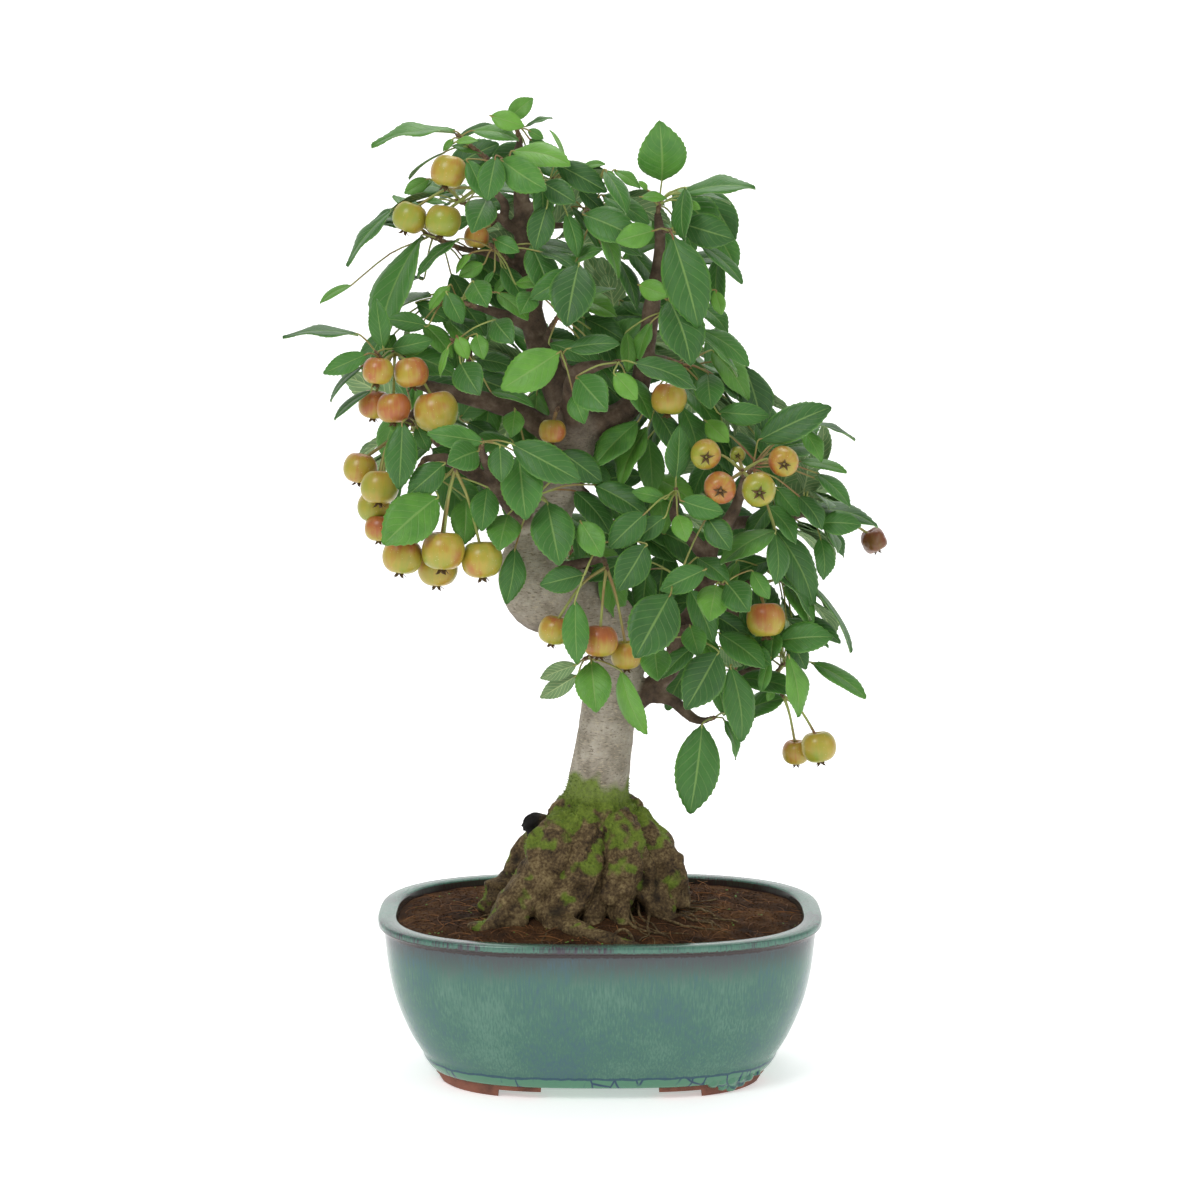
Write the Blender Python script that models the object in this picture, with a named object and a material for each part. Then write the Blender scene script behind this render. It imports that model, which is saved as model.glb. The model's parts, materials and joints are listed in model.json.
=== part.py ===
# A crabapple bonsai in its glazed pot, as separate solids.
# Sizes are in millimetres up to the last step, which turns them to metres.
# +Z is up, +X is to the right and -Y is the front. The origin lies on the table under the pot's middle.

import math
import random

import bmesh
import bpy
from mathutils import Vector
from mathutils.bvhtree import BVHTree

MM = 0.001
CLEAR = 0.35         # gap between pieces that meet face to face
LEAF_CLEAR = 0.5     # least gap between a leaf and any other piece
ROOT_CLEAR = 0.7     # gap round the roots, where they go through the soil
SEWING_REACH = 0.2   # points of one node nearer than this become one
SPARED_REACH = 1.5   # but not this near to a place where that went wrong
SEWING_TRIES = 12
SOUND_REACH = 0.001  # the check of a finished body takes points this near as one
FLAT_ANGLE = math.radians(1)
# Shares of its faces that a large body is tried with, the least that leaves it sound is kept
SOIL_SHARES = (0.75, 0.8, 0.85)
WOOD_SHARES = (0.84, 0.88)

# Pot, half sizes measured across the rim's outer edge
POT_HALF_LENGTH = 127
POT_HALF_DEPTH = 88
POT_CORNER = 2.8     # exponent of the rounded oblong, 2 would be an ellipse
DEPTH_TAPER = 0.75   # the long sides lean in less than the short ones
POT_SIDES = 32
FLOOR_TOP = 17
HOLE_RADIUS = 8
HOLE_SPACING = 52
SCREEN_SIZE = 26
SCREEN_THICKNESS = 1.2
SCREEN_PITCH = 8
SCREEN_OPENING = 5
# How far the wall stands in from the rim at each height, outside and then inside
OUTER_WALL = [(0, 94), (0, 89.5), (3, 89), (5.5, 66), (12, 40), (24, 15.5), (26.5, 11), (29, 7.5)]
INNER_WALL = [(10.5, 94), (11.5, 88), (17, 55), (28, 28), (37, FLOOR_TOP)]
FOOT_WALL = [(30.5, 9), (31.5, 4), (34.5, 0)]
FOOT_DEPTH = 15      # from a foot's outer face to its inner one
FOOT_GAP_FRONT = 33  # half the full gap between the feet, along the long side
FOOT_STEP_FRONT = 57
FOOT_GAP_SIDE = 20
FOOT_STEP_SIDE = 30
FOOT_STEP_HEIGHT = 4.5

# Soil, mounded round the tree
SOIL_EDGE_Z = 90
SOIL_MOUND = 7

# The tree is measured on a front view, seen from 1606 mm away and 8 degrees above level.
# A place on it is x from the middle, height above the feet, and depth behind the pot's middle.
VIEW_DISTANCE = 1606
VIEW_TILT = math.radians(8)
VIEW_CENTRE_Z = 273
VIEW_CENTRE_HEIGHT = 283.5
VIEW_UP = Vector((0, math.sin(VIEW_TILT), math.cos(VIEW_TILT)))
VIEW_FORWARD = Vector((0, math.cos(VIEW_TILT), -math.sin(VIEW_TILT)))

# Wood: x, height, depth, radius along each limb
LIMBS = {
    "trunk": [(1, 108, 8, 30), (0, 128, 4, 27), (-1, 148, 2, 23), (-2, 170, 0, 18.5), (2, 200, 0, 16.5),
              (6, 228, 0, 16), (10, 250, 0, 16), (6, 268, 0, 17), (-10, 281, -2, 19), (-30, 285, -4, 21),
              (-38, 298, -4, 20), (-36, 316, -2, 15.5), (-28, 334, 0, 12.5), (-19, 356, 2, 12),
              (-14, 380, 4, 11.5), (-23, 402, 6, 9.5), (-32, 422, 8, 8), (-39, 446, 10, 6.8),
              (-42, 470, 10, 5.8), (-44, 498, 8, 5), (-45, 524, 4, 4), (-46, 541, 2, 2.8)],
    "right_main": [(11, 222, -2, 9), (26, 231, -6, 6.5), (40, 246, -8, 6), (44, 256, -6, 6), (42, 264, -4, 6),
                   (54, 277, 0, 5.6), (60, 294, 2, 5.4), (62, 311, 2, 5), (72, 326, 4, 4), (92, 328, 20, 3.4),
                   (110, 331, 36, 2.4)],
    "right_fork": [(62, 306, 2, 4.6), (52, 318, -6, 4), (42, 330, -12, 3), (43, 338, -15, 2.2)],
    "right_middle": [(66, 318, 3, 4.2), (76, 334, -4, 3.6), (80, 346, -10, 2.6)],
    "right_low": [(57, 284, 0, 4.6), (70, 284, 10, 4), (84, 262, 14, 3.4), (88, 244, 12, 3),
                  (97, 238, 10, 2.2)],
    "front_low": [(24, 230, -6, 4.6), (40, 227, -12, 3.6), (52, 217, -16, 3), (58, 215, -18, 2.4)],
    "right_apex": [(-10, 380, 4, 8.5), (6, 386, 6, 7.5), (20, 397, 8, 6.4), (25, 420, 8, 5.4), (29, 448, 6, 4.8),
                   (33, 472, 2, 4), (34, 490, 0, 3.2), (33, 500, 0, 2.4)],
    "left_low": [(-34, 318, -4, 9), (-50, 338, -14, 6), (-66, 352, -26, 4.6), (-84, 362, -34, 3.6),
                 (-96, 364, -34, 2.6)],
    "left_front": [(-56, 343, -18, 4.6), (-62, 356, -32, 3.4), (-66, 365, -42, 2.4)],
    "left_middle": [(-20, 372, 2, 8), (-46, 390, 2, 6), (-76, 399, -4, 4.8), (-96, 404, -12, 3.8),
                    (-110, 409, -20, 2.8)],
    "left_spur": [(-90, 402, -9, 3.6), (-104, 390, -6, 3), (-114, 378, -4, 2.2)],
    "left_high": [(-38, 440, 8, 5), (-52, 444, 2, 3.6), (-66, 449, -4, 2.6)],
    "front_spur": [(-14, 380, -2, 6), (-17, 400, -14, 4.6), (-13, 412, -24, 4.8), (-3, 416, -29, 3.6),
                   (3, 417, -30, 2.6)],
    "centre_spur": [(-24, 300, -14, 5), (-11, 304, -24, 3), (-2, 306, -30, 2.2)],
    "upper_left": [(-44, 492, 8, 3.6), (-54, 498, 2, 3), (-54, 508, -2, 2.6), (-60, 515, -2, 2)],
    "back_low": [(-20, 290, 8, 8), (-4, 308, 34, 5.6), (10, 324, 52, 4), (24, 334, 60, 2.6)],
    "back_left": [(-30, 322, 6, 8), (-52, 346, 30, 5.4), (-74, 362, 46, 4), (-92, 372, 54, 2.6)],
    "back_middle": [(-18, 376, 8, 7), (-12, 394, 34, 5), (-4, 408, 52, 3.6), (4, 418, 60, 2.4)],
    "back_right": [(60, 294, 4, 4.8), (68, 302, 28, 4), (80, 314, 46, 3), (90, 322, 54, 2.2)],
    "back_upper": [(-38, 440, 12, 5), (-36, 454, 30, 3.6), (-36, 464, 42, 2.4)],
}
DEAD_STUB = [(-24, 150, -6, 7), (-34, 155, -8, 5), (-43, 156, -8, 3.4)]
HANGING_TWIG = [(-16, 352, -2, 2), (-4, 341, -8, 1.5), (7, 329, -14, 1)]

# Surface roots: direction in degrees (front is 270), reach, radius at the trunk
ROOTS = [(212, 80, 13), (236, 52, 14), (262, 38, 12), (292, 42, 11), (330, 50, 12), (33, 62, 13), (76, 50, 12),
         (122, 54, 12), (170, 52, 13)]
ROOT_START_Z = 150
# Share of the reach, height, share of the radius
ROOT_PROFILE = [(0.14, ROOT_START_Z, 1.2), (0.5, 116, 0.95), (0.8, 97, 0.6), (1.0, 88, 0.34)]
FRONT_ROOT = [(-34, -20, 102, 7), (-26, -36, 97, 6.4), (-12, -52, 93, 5.6), (6, -64, 91, 4.6),
              (22, -68, 88, 3)]
SIDE_ROOT = [(-74, -36, 91, 3.4), (-60, -38, 94, 4), (-42, -36, 94, 4)]

# Fruit bunches: where the stalk leaves the wood, where it ends, then the apples.
# An apple is x, height, depth, diameter and, where it doesn't hang, the way its eye faces.
FACING = Vector((0, -1, -0.15))
BUNCHES = {
    "fruit_upper_left": ((-66, 517, -4), (-70, 517, -6),
                         [(-86, 526, -16, 20), (-108, 500, -8, 19), (-89, 498, -14, 20)]),
    "fruit_left": ((-114, 424, -22), (-117, 424, -26),
                   [(-126, 413, -34, 17), (-107, 412, -36, 19), (-117, 392, -38, 19), (-128, 394, -24, 18),
                    (-93, 390, -34, 25)]),
    "fruit_left_end": ((-118, 375, -4), (-120, 373, -7),
                       [(-136, 358, -8, 19), (-125, 347, -26, 21), (-128, 336, -8, 19), (-125, 324, -14, 17)]),
    "fruit_left_low": ((-82, 360, -40), (-82, 357, -43),
                       [(-112, 308, -50, 22), (-89, 311, -56, 24), (-92, 301, -36, 22), (-67, 306, -48, 23)]),
    "fruit_centre_right": ((46, 412, -6), (46, 409, -8), [(39, 397, -18, 20)]),
    "fruit_right": ((81, 355, -16), (81, 357, -19),
                    [(60, 366, -34, 17, FACING), (68, 347, -38, 18, FACING), (90, 346, -38, 19, FACING),
                     (104, 362, -32, 17, FACING), (78, 366, -8, 9, FACING)]),
    "fruit_right_end": ((117, 331, 44), (119, 330, 46), [(155, 317, 60, 15)]),
    "fruit_right_low": ((88, 292, -2), (90, 290, -4), [(94, 272, -16, 22)]),
    "fruit_centre": ((3, 304, -34), (4, 301, -36),
                     [(-26, 266, -40, 18), (0, 260, -44, 20), (15, 252, -32, 18)]),
    "fruit_bottom_right": ((103, 231, 4), (104, 229, 2), [(111, 197, 8, 16), (124, 200, -4, 20)]),
    "fruit_upper_inner": ((-60, 498, 6), (-62, 496, 4), [(-70, 489, 0, 14)]),
    "fruit_inner": ((-24, 392, -12), (-25, 390, -14), [(-27, 379, -18, 15)]),
}

# Leafy sprays: where the shoot leaves the wood, where it ends, how many leaves fill its back, then its leaves.
# A leaf is the place of its blade's base, the place of its tip, its seen width and the depth of its base.
UNDERSIDE = "shows its underside"
SPRAYS = {
    "spray_apex": ((-46, 546, 2), (-48, 554, 0), 0, [
        (-52, 556, -38, 568, 11, -4), (-62, 558, -43, 552, 11, -14), (-40, 545, -29, 534, 9, -2)]),
    "spray_top_left": ((-66, 535, 0), (-81, 547, -5), 1, [
        (-82, 549, -130, 543, 9, -6), (-80, 546, -61, 553, 5, 6), (-84, 541, -67, 537, 6, 0)]),
    "spray_crown_front": ((-50, 524, -10), (-53, 532, -18), 0, [
        (-75, 533, -65, 511, 11, -24), (-59, 535, -64, 510, 15, -34), (-56, 533, -31, 516, 19, -30)]),
    "spray_crown_right": ((-33, 513, 0), (-27, 522, -4), 1, [
        (-32, 520, -14, 509, 14, -16), (-25, 531, 4, 515, 15, -10), (-30, 507, -37, 482, 15, -22),
        (-19, 503, -12, 478, 10, -14)]),
    "spray_upper_left": ((-70, 506, 8), (-82, 510, 12), 1, [
        (-97, 522, -111, 514, 9, 6), (-64, 511, -72, 493, 18, -12)]),
    "spray_far_left_up": ((-82, 484, 8), (-99, 491, 4), 1, [
        (-101, 490, -127, 425, 18, 0), (-117, 505, -144, 473, 10, 4), (-114, 506, -133, 492, 6, 12),
        (-100, 466, -121, 462, 5, 10), (-141, 462, -159, 452, 6, 12)]),
    "spray_upper_inner": ((-54, 478, 0), (-62, 485, -6), 1, [
        (-80, 488, -104, 467, 11, -14), (-60, 488, -46, 481, 10, -16), (-66, 474, -80, 467, 9, -4)]),
    "spray_left_high": ((-72, 450, -6), (-88, 456, -8), 1, [
        (-72, 464, -64, 450, 15, -18), (-85, 462, -97, 448, 7, -14), (-87, 458, -78, 440, 12, -20),
        (-104, 452, -86, 442, 11, 0), (-98, 439, -121, 443, 11, -20)]),
    "spray_far_left": ((-122, 417, -30), (-127, 424, -36), 0, [
        (-137, 434, -180, 433, 8, -46), (-132, 423, -157, 412, 11, -46), (-135, 416, -154, 397, 6, -44),
        (-130, 402, -151, 386, 6, -46), (-123, 426, -127, 454, 12, -38), (-118, 426, -95, 431, 12, -30)]),
    "spray_left_shoulder": ((-76, 426, -16), (-84, 431, -22), 1, [
        (-70, 434, -66, 420, 10, -30), (-79, 418, -69, 401, 18, -38), (-60, 442, -50, 430, 15, -26)]),
    "spray_centre_high": ((-28, 438, -8), (-20, 450, -16), 1, [
        (-12, 474, -19, 439, 25, -34), (-13, 470, -40, 454, 14, -24), (-4, 500, 11, 466, 10, -10)]),
    "spray_front_spur": ((8, 418, -32), (11, 419, -36), 0, [
        (19, 418, 55, 404, 14, -44), (-13, 410, 4, 391, 20, -50), (8, 412, 21, 397, 12, -44)]),
    "spray_front_left": ((-20, 418, -28), (-22, 424, -34), 0, [
        (-23, 424, -56, 403, 22, -46), (-18, 426, 11, 429, 11, -40), (-15, 400, -9, 384, 12, -34)]),
    "spray_left_hanging": ((-102, 386, -12), (-106, 383, -18), 0, [
        (-112, 384, -114, 346, 18, -44), (-104, 382, -97, 368, 9, -26), (-120, 385, -107, 376, 8, -20)]),
    "spray_left_front": ((-67, 370, -46), (-67, 374, -50), 0, [
        (-66, 373, -98, 378, 13, -60), (-69, 368, -86, 361, 18, -66), (-57, 371, -56, 351, 14, -62),
        (-50, 372, -11, 351, 20, -58), (-46, 366, -42, 329, 23, -50)]),
    "spray_left_low": ((-101, 361, -34), (-104, 356, -36), 0, [
        (-88, 361, -109, 343, 16, -50), (-92, 342, -123, 315, 27, -38), (-76, 341, -77, 315, 17, -34),
        (-64, 347, -67, 323, 16, -44)]),
    "spray_elbow": ((-36, 341, -22), (-37, 345, -28), 0, [
        (-52, 332, -57, 313, 19, -34), (-30, 339, -23, 304, 24, -42), (-48, 313, -53, 281, 15, -40),
        (-48, 391, -50, 376, 12, -20)]),
    "spray_centre": ((-1, 312, -36), (-1, 316, -40), 0, [
        (-9, 298, -34, 292, 15, -44), (-11, 328, 1, 308, 15, -46), (-14, 283, -13, 247, 15, -56),
        (26, 315, 10, 289, 19, -46)]),
    "spray_centre_low": ((-4, 252, -26), (-9, 250, -32), 0, [
        (-5, 249, -2, 220, 20, -44), (12, 243, 26, 207, 17, -34), (-13, 247, -34, 239, 10, -36, UNDERSIDE),
        (-13, 241, -34, 228, 11, -34, UNDERSIDE)]),
    "spray_right_upper": ((43, 343, -18), (43, 347, -21), 0, [
        (26, 333, 5, 313, 17, -38), (37, 331, 20, 317, 12, -34), (37, 341, 18, 345, 9, -28),
        (46, 340, 70, 333, 14, -38), (44, 332, 49, 317, 12, -32), (43, 352, 45, 382, 16, -26)]),
    "spray_right_centre": ((48, 300, -20), (42, 294, -28), 0, [
        (61, 330, 74, 312, 15, -36), (60, 301, 34, 289, 15, -50), (40, 287, 20, 251, 28, -64)]),
    "spray_right_centre_low": ((52, 266, -20), (55, 260, -26), 0, [
        (31, 257, 33, 238, 17, -48), (51, 269, 56, 252, 14, -34), (67, 254, 49, 222, 24, -46)]),
    "spray_right_low": ((74, 240, -10), (78, 248, -14), 0, [
        (74, 246, 81, 203, 17, -30), (68, 257, 81, 246, 11, -22, UNDERSIDE), (84, 256, 97, 247, 11, -10)]),
    "spray_hanging": ((62, 216, -22), (65, 217, -26), 0, [
        (58, 213, 51, 162, 25, -34), (70, 216, 78, 193, 6, -26)]),
    "spray_right_top": ((33, 504, 0), (34, 511, -2), 0, [
        (35, 521, 34, 553, 27, -8), (47, 514, 88, 518, 12, -6)]),
    "spray_right_top_front": ((37, 493, -6), (40, 493, -12), 0, [
        (41, 490, 56, 438, 26, -30), (31, 493, 9, 487, 14, -22), (46, 497, 76, 488, 19, -14),
        (57, 485, 81, 463, 8, -8)]),
    "spray_right_shoulder": ((36, 447, 0), (44, 450, -8), 1, [
        (39, 454, 52, 417, 26, -34), (65, 459, 69, 445, 8, -10), (57, 437, 85, 417, 12, -6),
        (52, 436, 79, 411, 6, -12), (22, 462, 39, 456, 12, -12)]),
    "spray_right_inner": ((38, 420, 4), (50, 416, 0), 1, [
        (63, 412, 79, 397, 8, 0), (61, 412, 63, 392, 17, -10), (67, 390, 96, 388, 13, -12)]),
    "spray_upper_right": ((-8, 498, 8), (-5, 506, 6), 1, [
        (-12, 517, 3, 503, 9, -2), (1, 513, 28, 497, 12, -8), (8, 527, 23, 517, 7, 8),
        (-16, 506, 0, 482, 6, 8)]),
    "spray_right_middle": ((84, 355, -10), (89, 362, -14), 0, [
        (90, 374, 131, 393, 20, -22), (115, 384, 145, 375, 4, -10), (113, 362, 140, 356, 6, -6),
        (60, 385, 73, 373, 12, -2)]),
    "spray_right_far": ((112, 336, 34), (117, 340, 30), 1, [
        (113, 335, 158, 328, 9, 18), (126, 327, 139, 308, 8, 24), (98, 325, 122, 281, 18, 2),
        (100, 347, 113, 331, 13, 6)]),
    "spray_right_far_low": ((96, 300, 18), (106, 292, 14), 1, [
        (96, 303, 121, 273, 12, -6), (120, 292, 143, 254, 9, 4), (106, 273, 130, 257, 8, 4),
        (109, 274, 137, 260, 8, 12)]),
    "spray_right_bottom": ((100, 242, 10), (106, 250, 6), 0, [
        (120, 248, 151, 228, 9, 4), (107, 263, 117, 244, 12, -2), (99, 266, 97, 249, 12, -8),
        (107, 252, 113, 217, 13, -16), (96, 250, 91, 231, 8, -16)]),
    "spray_right_front": ((66, 294, -18), (70, 293, -24), 0, [
        (66, 292, 62, 272, 18, -34), (72, 293, 84, 277, 18, -38), (86, 300, 96, 284, 10, -20)]),
    "spray_back_low": ((28, 338, 64), (36, 342, 68), 7, []),
    "spray_back_low_left": ((-12, 312, 40), (-22, 312, 52), 6, []),
    "spray_back_left": ((-97, 375, 57), (-106, 380, 60), 7, []),
    "spray_back_left_inner": ((-66, 366, 50), (-64, 378, 62), 6, []),
    "spray_back_middle": ((8, 422, 63), (12, 430, 66), 7, []),
    "spray_back_middle_left": ((-24, 404, 46), (-38, 410, 58), 7, []),
    "spray_back_right": ((94, 325, 57), (102, 330, 60), 7, []),
    "spray_back_right_inner": ((54, 400, 34), (62, 404, 46), 7, []),
    "spray_back_upper": ((-36, 469, 46), (-36, 478, 50), 7, []),
}
DRIFT_SEED = 7

# The crown's outline on the front view, which the filling leaves keep within
CROWN_EDGE = [(-62, 550), (-40, 556), (-26, 536), (0, 530), (20, 518), (40, 524), (76, 510), (78, 470),
              (72, 448), (82, 420), (80, 400), (104, 400), (128, 388), (132, 356), (150, 328), (128, 296),
              (138, 264), (120, 246), (118, 222), (98, 226), (88, 206), (74, 216), (48, 222), (28, 216),
              (8, 236), (-6, 246), (-20, 262), (-20, 302), (-46, 310), (-62, 322), (-100, 318), (-124, 326),
              (-124, 342), (-142, 360), (-122, 384), (-150, 400), (-156, 418), (-150, 436), (-122, 446),
              (-100, 456), (-72, 470), (-58, 486), (-78, 490), (-104, 494), (-136, 484), (-132, 500),
              (-110, 522), (-90, 538)]
# Holes in the crown that show the light behind: x, height, radius
LIGHT_GAPS = [(-30, 447, 6), (-10, 340, 9), (-42, 318, 6), (2, 294, 7), (58, 264, 8), (-68, 392, 5),
              (-98, 368, 6), (40, 372, 6), (-48, 500, 7), (-14, 492, 7), (20, 474, 6), (66, 386, 5),
              (-50, 470, 6), (112, 322, 5), (100, 285, 5), (-98, 478, 8)]

# What a leaf's blade is like
LEAF_THICKNESS = 0.7
PETIOLE_WIDTH = 1.5
BLADE_RATIO = 0.6        # a blade's width over its length
LARGE_BLADE = 38         # a blade of this length or more is given three rows of points
LARGE_ROWS = [(0.22, 0.84), (0.52, 1.0), (0.8, 0.62)]
SMALL_ROWS = [(0.32, 0.96), (0.7, 0.78)]
BLADE_ARCH = 0.07
BLADE_FOLD = 0.22
BLADE_WAVE = 0.1
GOLDEN_TURN = math.radians(137.5)
SHORT_TWIG = 12
NEAR_THE_MIDDLE = 20      # a shoot nearer than this to the axis grows to the back
LONG_PEDICEL = 24
# An apple from its stalk to the dry calyx at its eye: radius and height, as shares of its diameter
APPLE_SIDES = 7
APPLE_PROFILE = [(0, -0.36), (0.3, -0.42), (0.5, -0.08), (0.44, 0.26), (0.09, 0.4), (0.13, 0.54), (0, 0.5)]


def on_view(x, height, depth):
    rise = height - VIEW_CENTRE_HEIGHT
    away = (depth - rise * VIEW_UP.y) / (VIEW_FORWARD.y + rise * VIEW_UP.y / VIEW_DISTANCE)
    spread = (VIEW_DISTANCE + away) / VIEW_DISTANCE
    across = Vector((x, 0, 0)) + VIEW_UP * rise
    return Vector((0, 0, VIEW_CENTRE_Z)) + across * spread + VIEW_FORWARD * away


def seen_at(point):
    offset = point - Vector((0, 0, VIEW_CENTRE_Z))
    shrink = VIEW_DISTANCE / (VIEW_DISTANCE + offset.dot(VIEW_FORWARD))
    return point.x * shrink, offset.dot(VIEW_UP) * shrink + VIEW_CENTRE_HEIGHT, point.y


def inside_crown(x, height):
    for gap_x, gap_height, radius in LIGHT_GAPS:
        if math.hypot(x - gap_x, height - gap_height) < radius:
            return False
    inside = False
    for (x1, h1), (x2, h2) in zip(CROWN_EDGE, CROWN_EDGE[1:] + CROWN_EDGE[:1]):
        if (h1 > height) != (h2 > height) and x < (x2 - x1) * (height - h1) / (h2 - h1) + x1:
            inside = not inside
    return inside


# A smooth curve through rows of numbers, with the given count of points on each stretch
def smooth(rows, steps):
    points = []
    for i in range(len(rows) - 1):
        before, a = rows[max(i - 1, 0)], rows[i]
        b, after = rows[i + 1], rows[min(i + 2, len(rows) - 1)]
        for step in range(steps):
            t = step / steps
            points.append(tuple(
                0.5 * (2 * q + (r - p) * t + (2 * p - 5 * q + 4 * r - s) * t ** 2
                       + (3 * q - p - 3 * r + s) * t ** 3)
                for p, q, r, s in zip(before, a, b, after)))
    return points + [tuple(rows[-1])]


def limb_path(rows, steps):
    return [(on_view(x, h, d), r) for x, h, d, r in smooth(rows, steps)]


# A tube as plain triangles, to test what else may stand there
def tube_shell(path, sides):
    points, faces = [], []
    for i, (centre, radius) in enumerate(path):
        ahead = path[min(i + 1, len(path) - 1)][0] - path[max(i - 1, 0)][0]
        turn = ahead.to_track_quat("Z", "Y")
        for k in range(sides):
            angle = math.tau * k / sides
            points.append(centre + turn @ Vector((math.cos(angle), math.sin(angle), 0)) * radius)
    for i in range(len(path) - 1):
        for k in range(sides):
            a, b = i * sides + k, i * sides + (k + 1) % sides
            faces += [(a, b, b + sides), (a, b + sides, a + sides)]
    return points, faces


def apple_shell(centre, diameter):
    bm = bmesh.new()
    bmesh.ops.create_icosphere(bm, subdivisions=2, radius=diameter / 2)
    points = [centre + v.co for v in bm.verts]
    faces = [tuple(v.index for v in f.verts) for f in bm.faces]
    bm.free()
    return points, faces


# What stands in the crown so far, and to which node it belongs
class Crown:
    def __init__(self):
        self.pieces = []

    def add(self, node, kind, shell):
        points, faces = shell
        low = [min(p[i] for p in points) for i in range(3)]
        high = [max(p[i] for p in points) for i in range(3)]
        self.pieces.append((node, kind, low, high, BVHTree.FromPolygons(points, faces)))

    def is_clear(self, node, kind, shell):
        points, faces = shell
        low = [min(p[i] for p in points) for i in range(3)]
        high = [max(p[i] for p in points) for i in range(3)]
        tree = None
        for other, other_kind, other_low, other_high, other_tree in self.pieces:
            if other == node and (kind, other_kind) != ("blade", "blade"):
                continue
            if any(low[i] > other_high[i] or high[i] < other_low[i] for i in range(3)):
                continue
            tree = tree or BVHTree.FromPolygons(points, faces)
            if tree.overlap(other_tree):
                return False
        return True


class Leaf:
    def __init__(self, foot, base, tip, face, width):
        self.foot, self.base, self.tip, self.face, self.width = foot, base, tip, face, width

    # The two points across the petiole's foot and the way from its lower to its upper side
    def petiole_foot(self, half):
        way = (self.base - self.foot).normalized()
        axis = (self.tip - self.base).normalized()
        side = axis.cross(self.face)
        across = side - way * side.dot(way)
        if across.length < 0.4:
            across = axis - way * axis.dot(way)
        across.normalize()
        return self.foot - across * half, self.foot + across * half, across.cross(way)

    # The blade and its petiole as an open surface: points, and triangles that face the upper side
    def surface(self, grow=0, with_petiole=True):
        axis = self.tip - self.base
        length = axis.length
        side = axis.cross(self.face).normalized()
        rows = LARGE_ROWS if length >= LARGE_BLADE else SMALL_ROWS
        end = axis.normalized() * grow
        half_petiole = PETIOLE_WIDTH / 2 + grow
        points = list(self.petiole_foot(half_petiole)[:2]) if with_petiole else []
        points += [self.base - end - side * half_petiole, self.base - end + side * half_petiole]
        faces = [(0, 1, 3), (0, 3, 2)] if with_petiole else []
        last = len(points)
        for i, (along, share) in enumerate(rows):
            rise = self.face * (BLADE_ARCH * length * 4 * along * (1 - along))
            middle = self.base + axis * along + rise
            half = self.width / 2 * share + grow
            wave = BLADE_WAVE * half * (1 if i % 2 else -1)
            points.append(middle - side * half + self.face * (BLADE_FOLD * half + wave))
            points.append(middle)
            points.append(middle + side * half + self.face * (BLADE_FOLD * half - wave))
            n = last + 3 * i
            if i == 0:
                faces += [(n - 2, n - 1, n + 1), (n - 2, n + 1, n), (n - 1, n + 2, n + 1)]
            else:
                faces += [(n - 3, n - 2, n + 1), (n - 3, n + 1, n)]
                faces += [(n - 2, n - 1, n + 2), (n - 2, n + 2, n + 1)]
        n = len(points)
        points.append(self.tip + end)
        faces += [(n - 3, n - 2, n), (n - 2, n - 1, n)]
        return points, faces

    # The surface given its thickness, as one closed plate
    def plate(self, thickness, grow=0, with_petiole=True):
        points, faces = self.surface(grow, with_petiole)
        count = len(points)
        lifts = [self.face * thickness / 2] * count
        if with_petiole:
            lifts[0] = lifts[1] = self.petiole_foot(0)[2] * thickness / 2
        plate_points = [p + q for p, q in zip(points, lifts)] + [p - q for p, q in zip(points, lifts)]
        edges = {}
        for face in faces:
            for a, b in zip(face, face[1:] + face[:1]):
                edges[(a, b)] = edges.get((a, b), 0) + 1
        rim = [(a, b) for a, b in edges if (b, a) not in edges]
        plate_faces = list(faces) + [tuple(i + count for i in reversed(f)) for f in faces]
        plate_faces += [(b, a, a + count, b + count) for a, b in rim]
        return plate_points, plate_faces


# The upper side's direction for a blade that is seen with the given width
def face_to_viewer(axis, seen_width, true_width, underside):
    toward = -VIEW_FORWARD
    face = (toward - axis * toward.dot(axis)).normalized()
    across = axis.cross(face).normalized()
    if across.z < 0:
        across = -across
    roll = math.acos(min(1, seen_width / true_width))
    face = face * math.cos(roll) + across * math.sin(roll)
    return -face if underside else face


# The petioles leave a shoot one above the other
def foot_on(shoot, number, count):
    start, end = shoot[0][0], shoot[-1][0]
    return start + (end - start) * (0.3 + 0.68 * (number + 1) / count)


# A leaf measured on the front view, moved in depth in small steps until it is clear of everything else
def place_seen_leaf(crown, node, foot, row):
    base_x, base_h, tip_x, tip_h, seen_width, depth = row[:6]
    underside = UNDERSIDE in row
    seen_length = math.hypot(tip_x - base_x, tip_h - base_h)
    true_length = max(seen_length, seen_width / BLADE_RATIO)
    lean = -max(math.sqrt(true_length ** 2 - seen_length ** 2), 0.12 * seen_length)
    true_width = seen_width if seen_width > 0.4 * seen_length else 0.45 * seen_length
    for lean_change in (0, 6, -6, 12, -12):
        for shift in (0, -3, 3, -6, 6, -9, 9, -12, 12, -16, 16, -20, 20, -24, 24):
            base = on_view(base_x, base_h, depth + shift)
            tip = on_view(tip_x, tip_h, depth + shift + lean + lean_change)
            for turn in (0, 0.35, -0.35, 0.7):
                axis = (tip - base).normalized()
                face = face_to_viewer(axis, seen_width, true_width, underside)
                face = face * math.cos(turn) + axis.cross(face) * math.sin(turn)
                leaf = Leaf(foot, base, tip, face, true_width)
                if fits(crown, node, leaf):
                    return leaf
    return None


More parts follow.
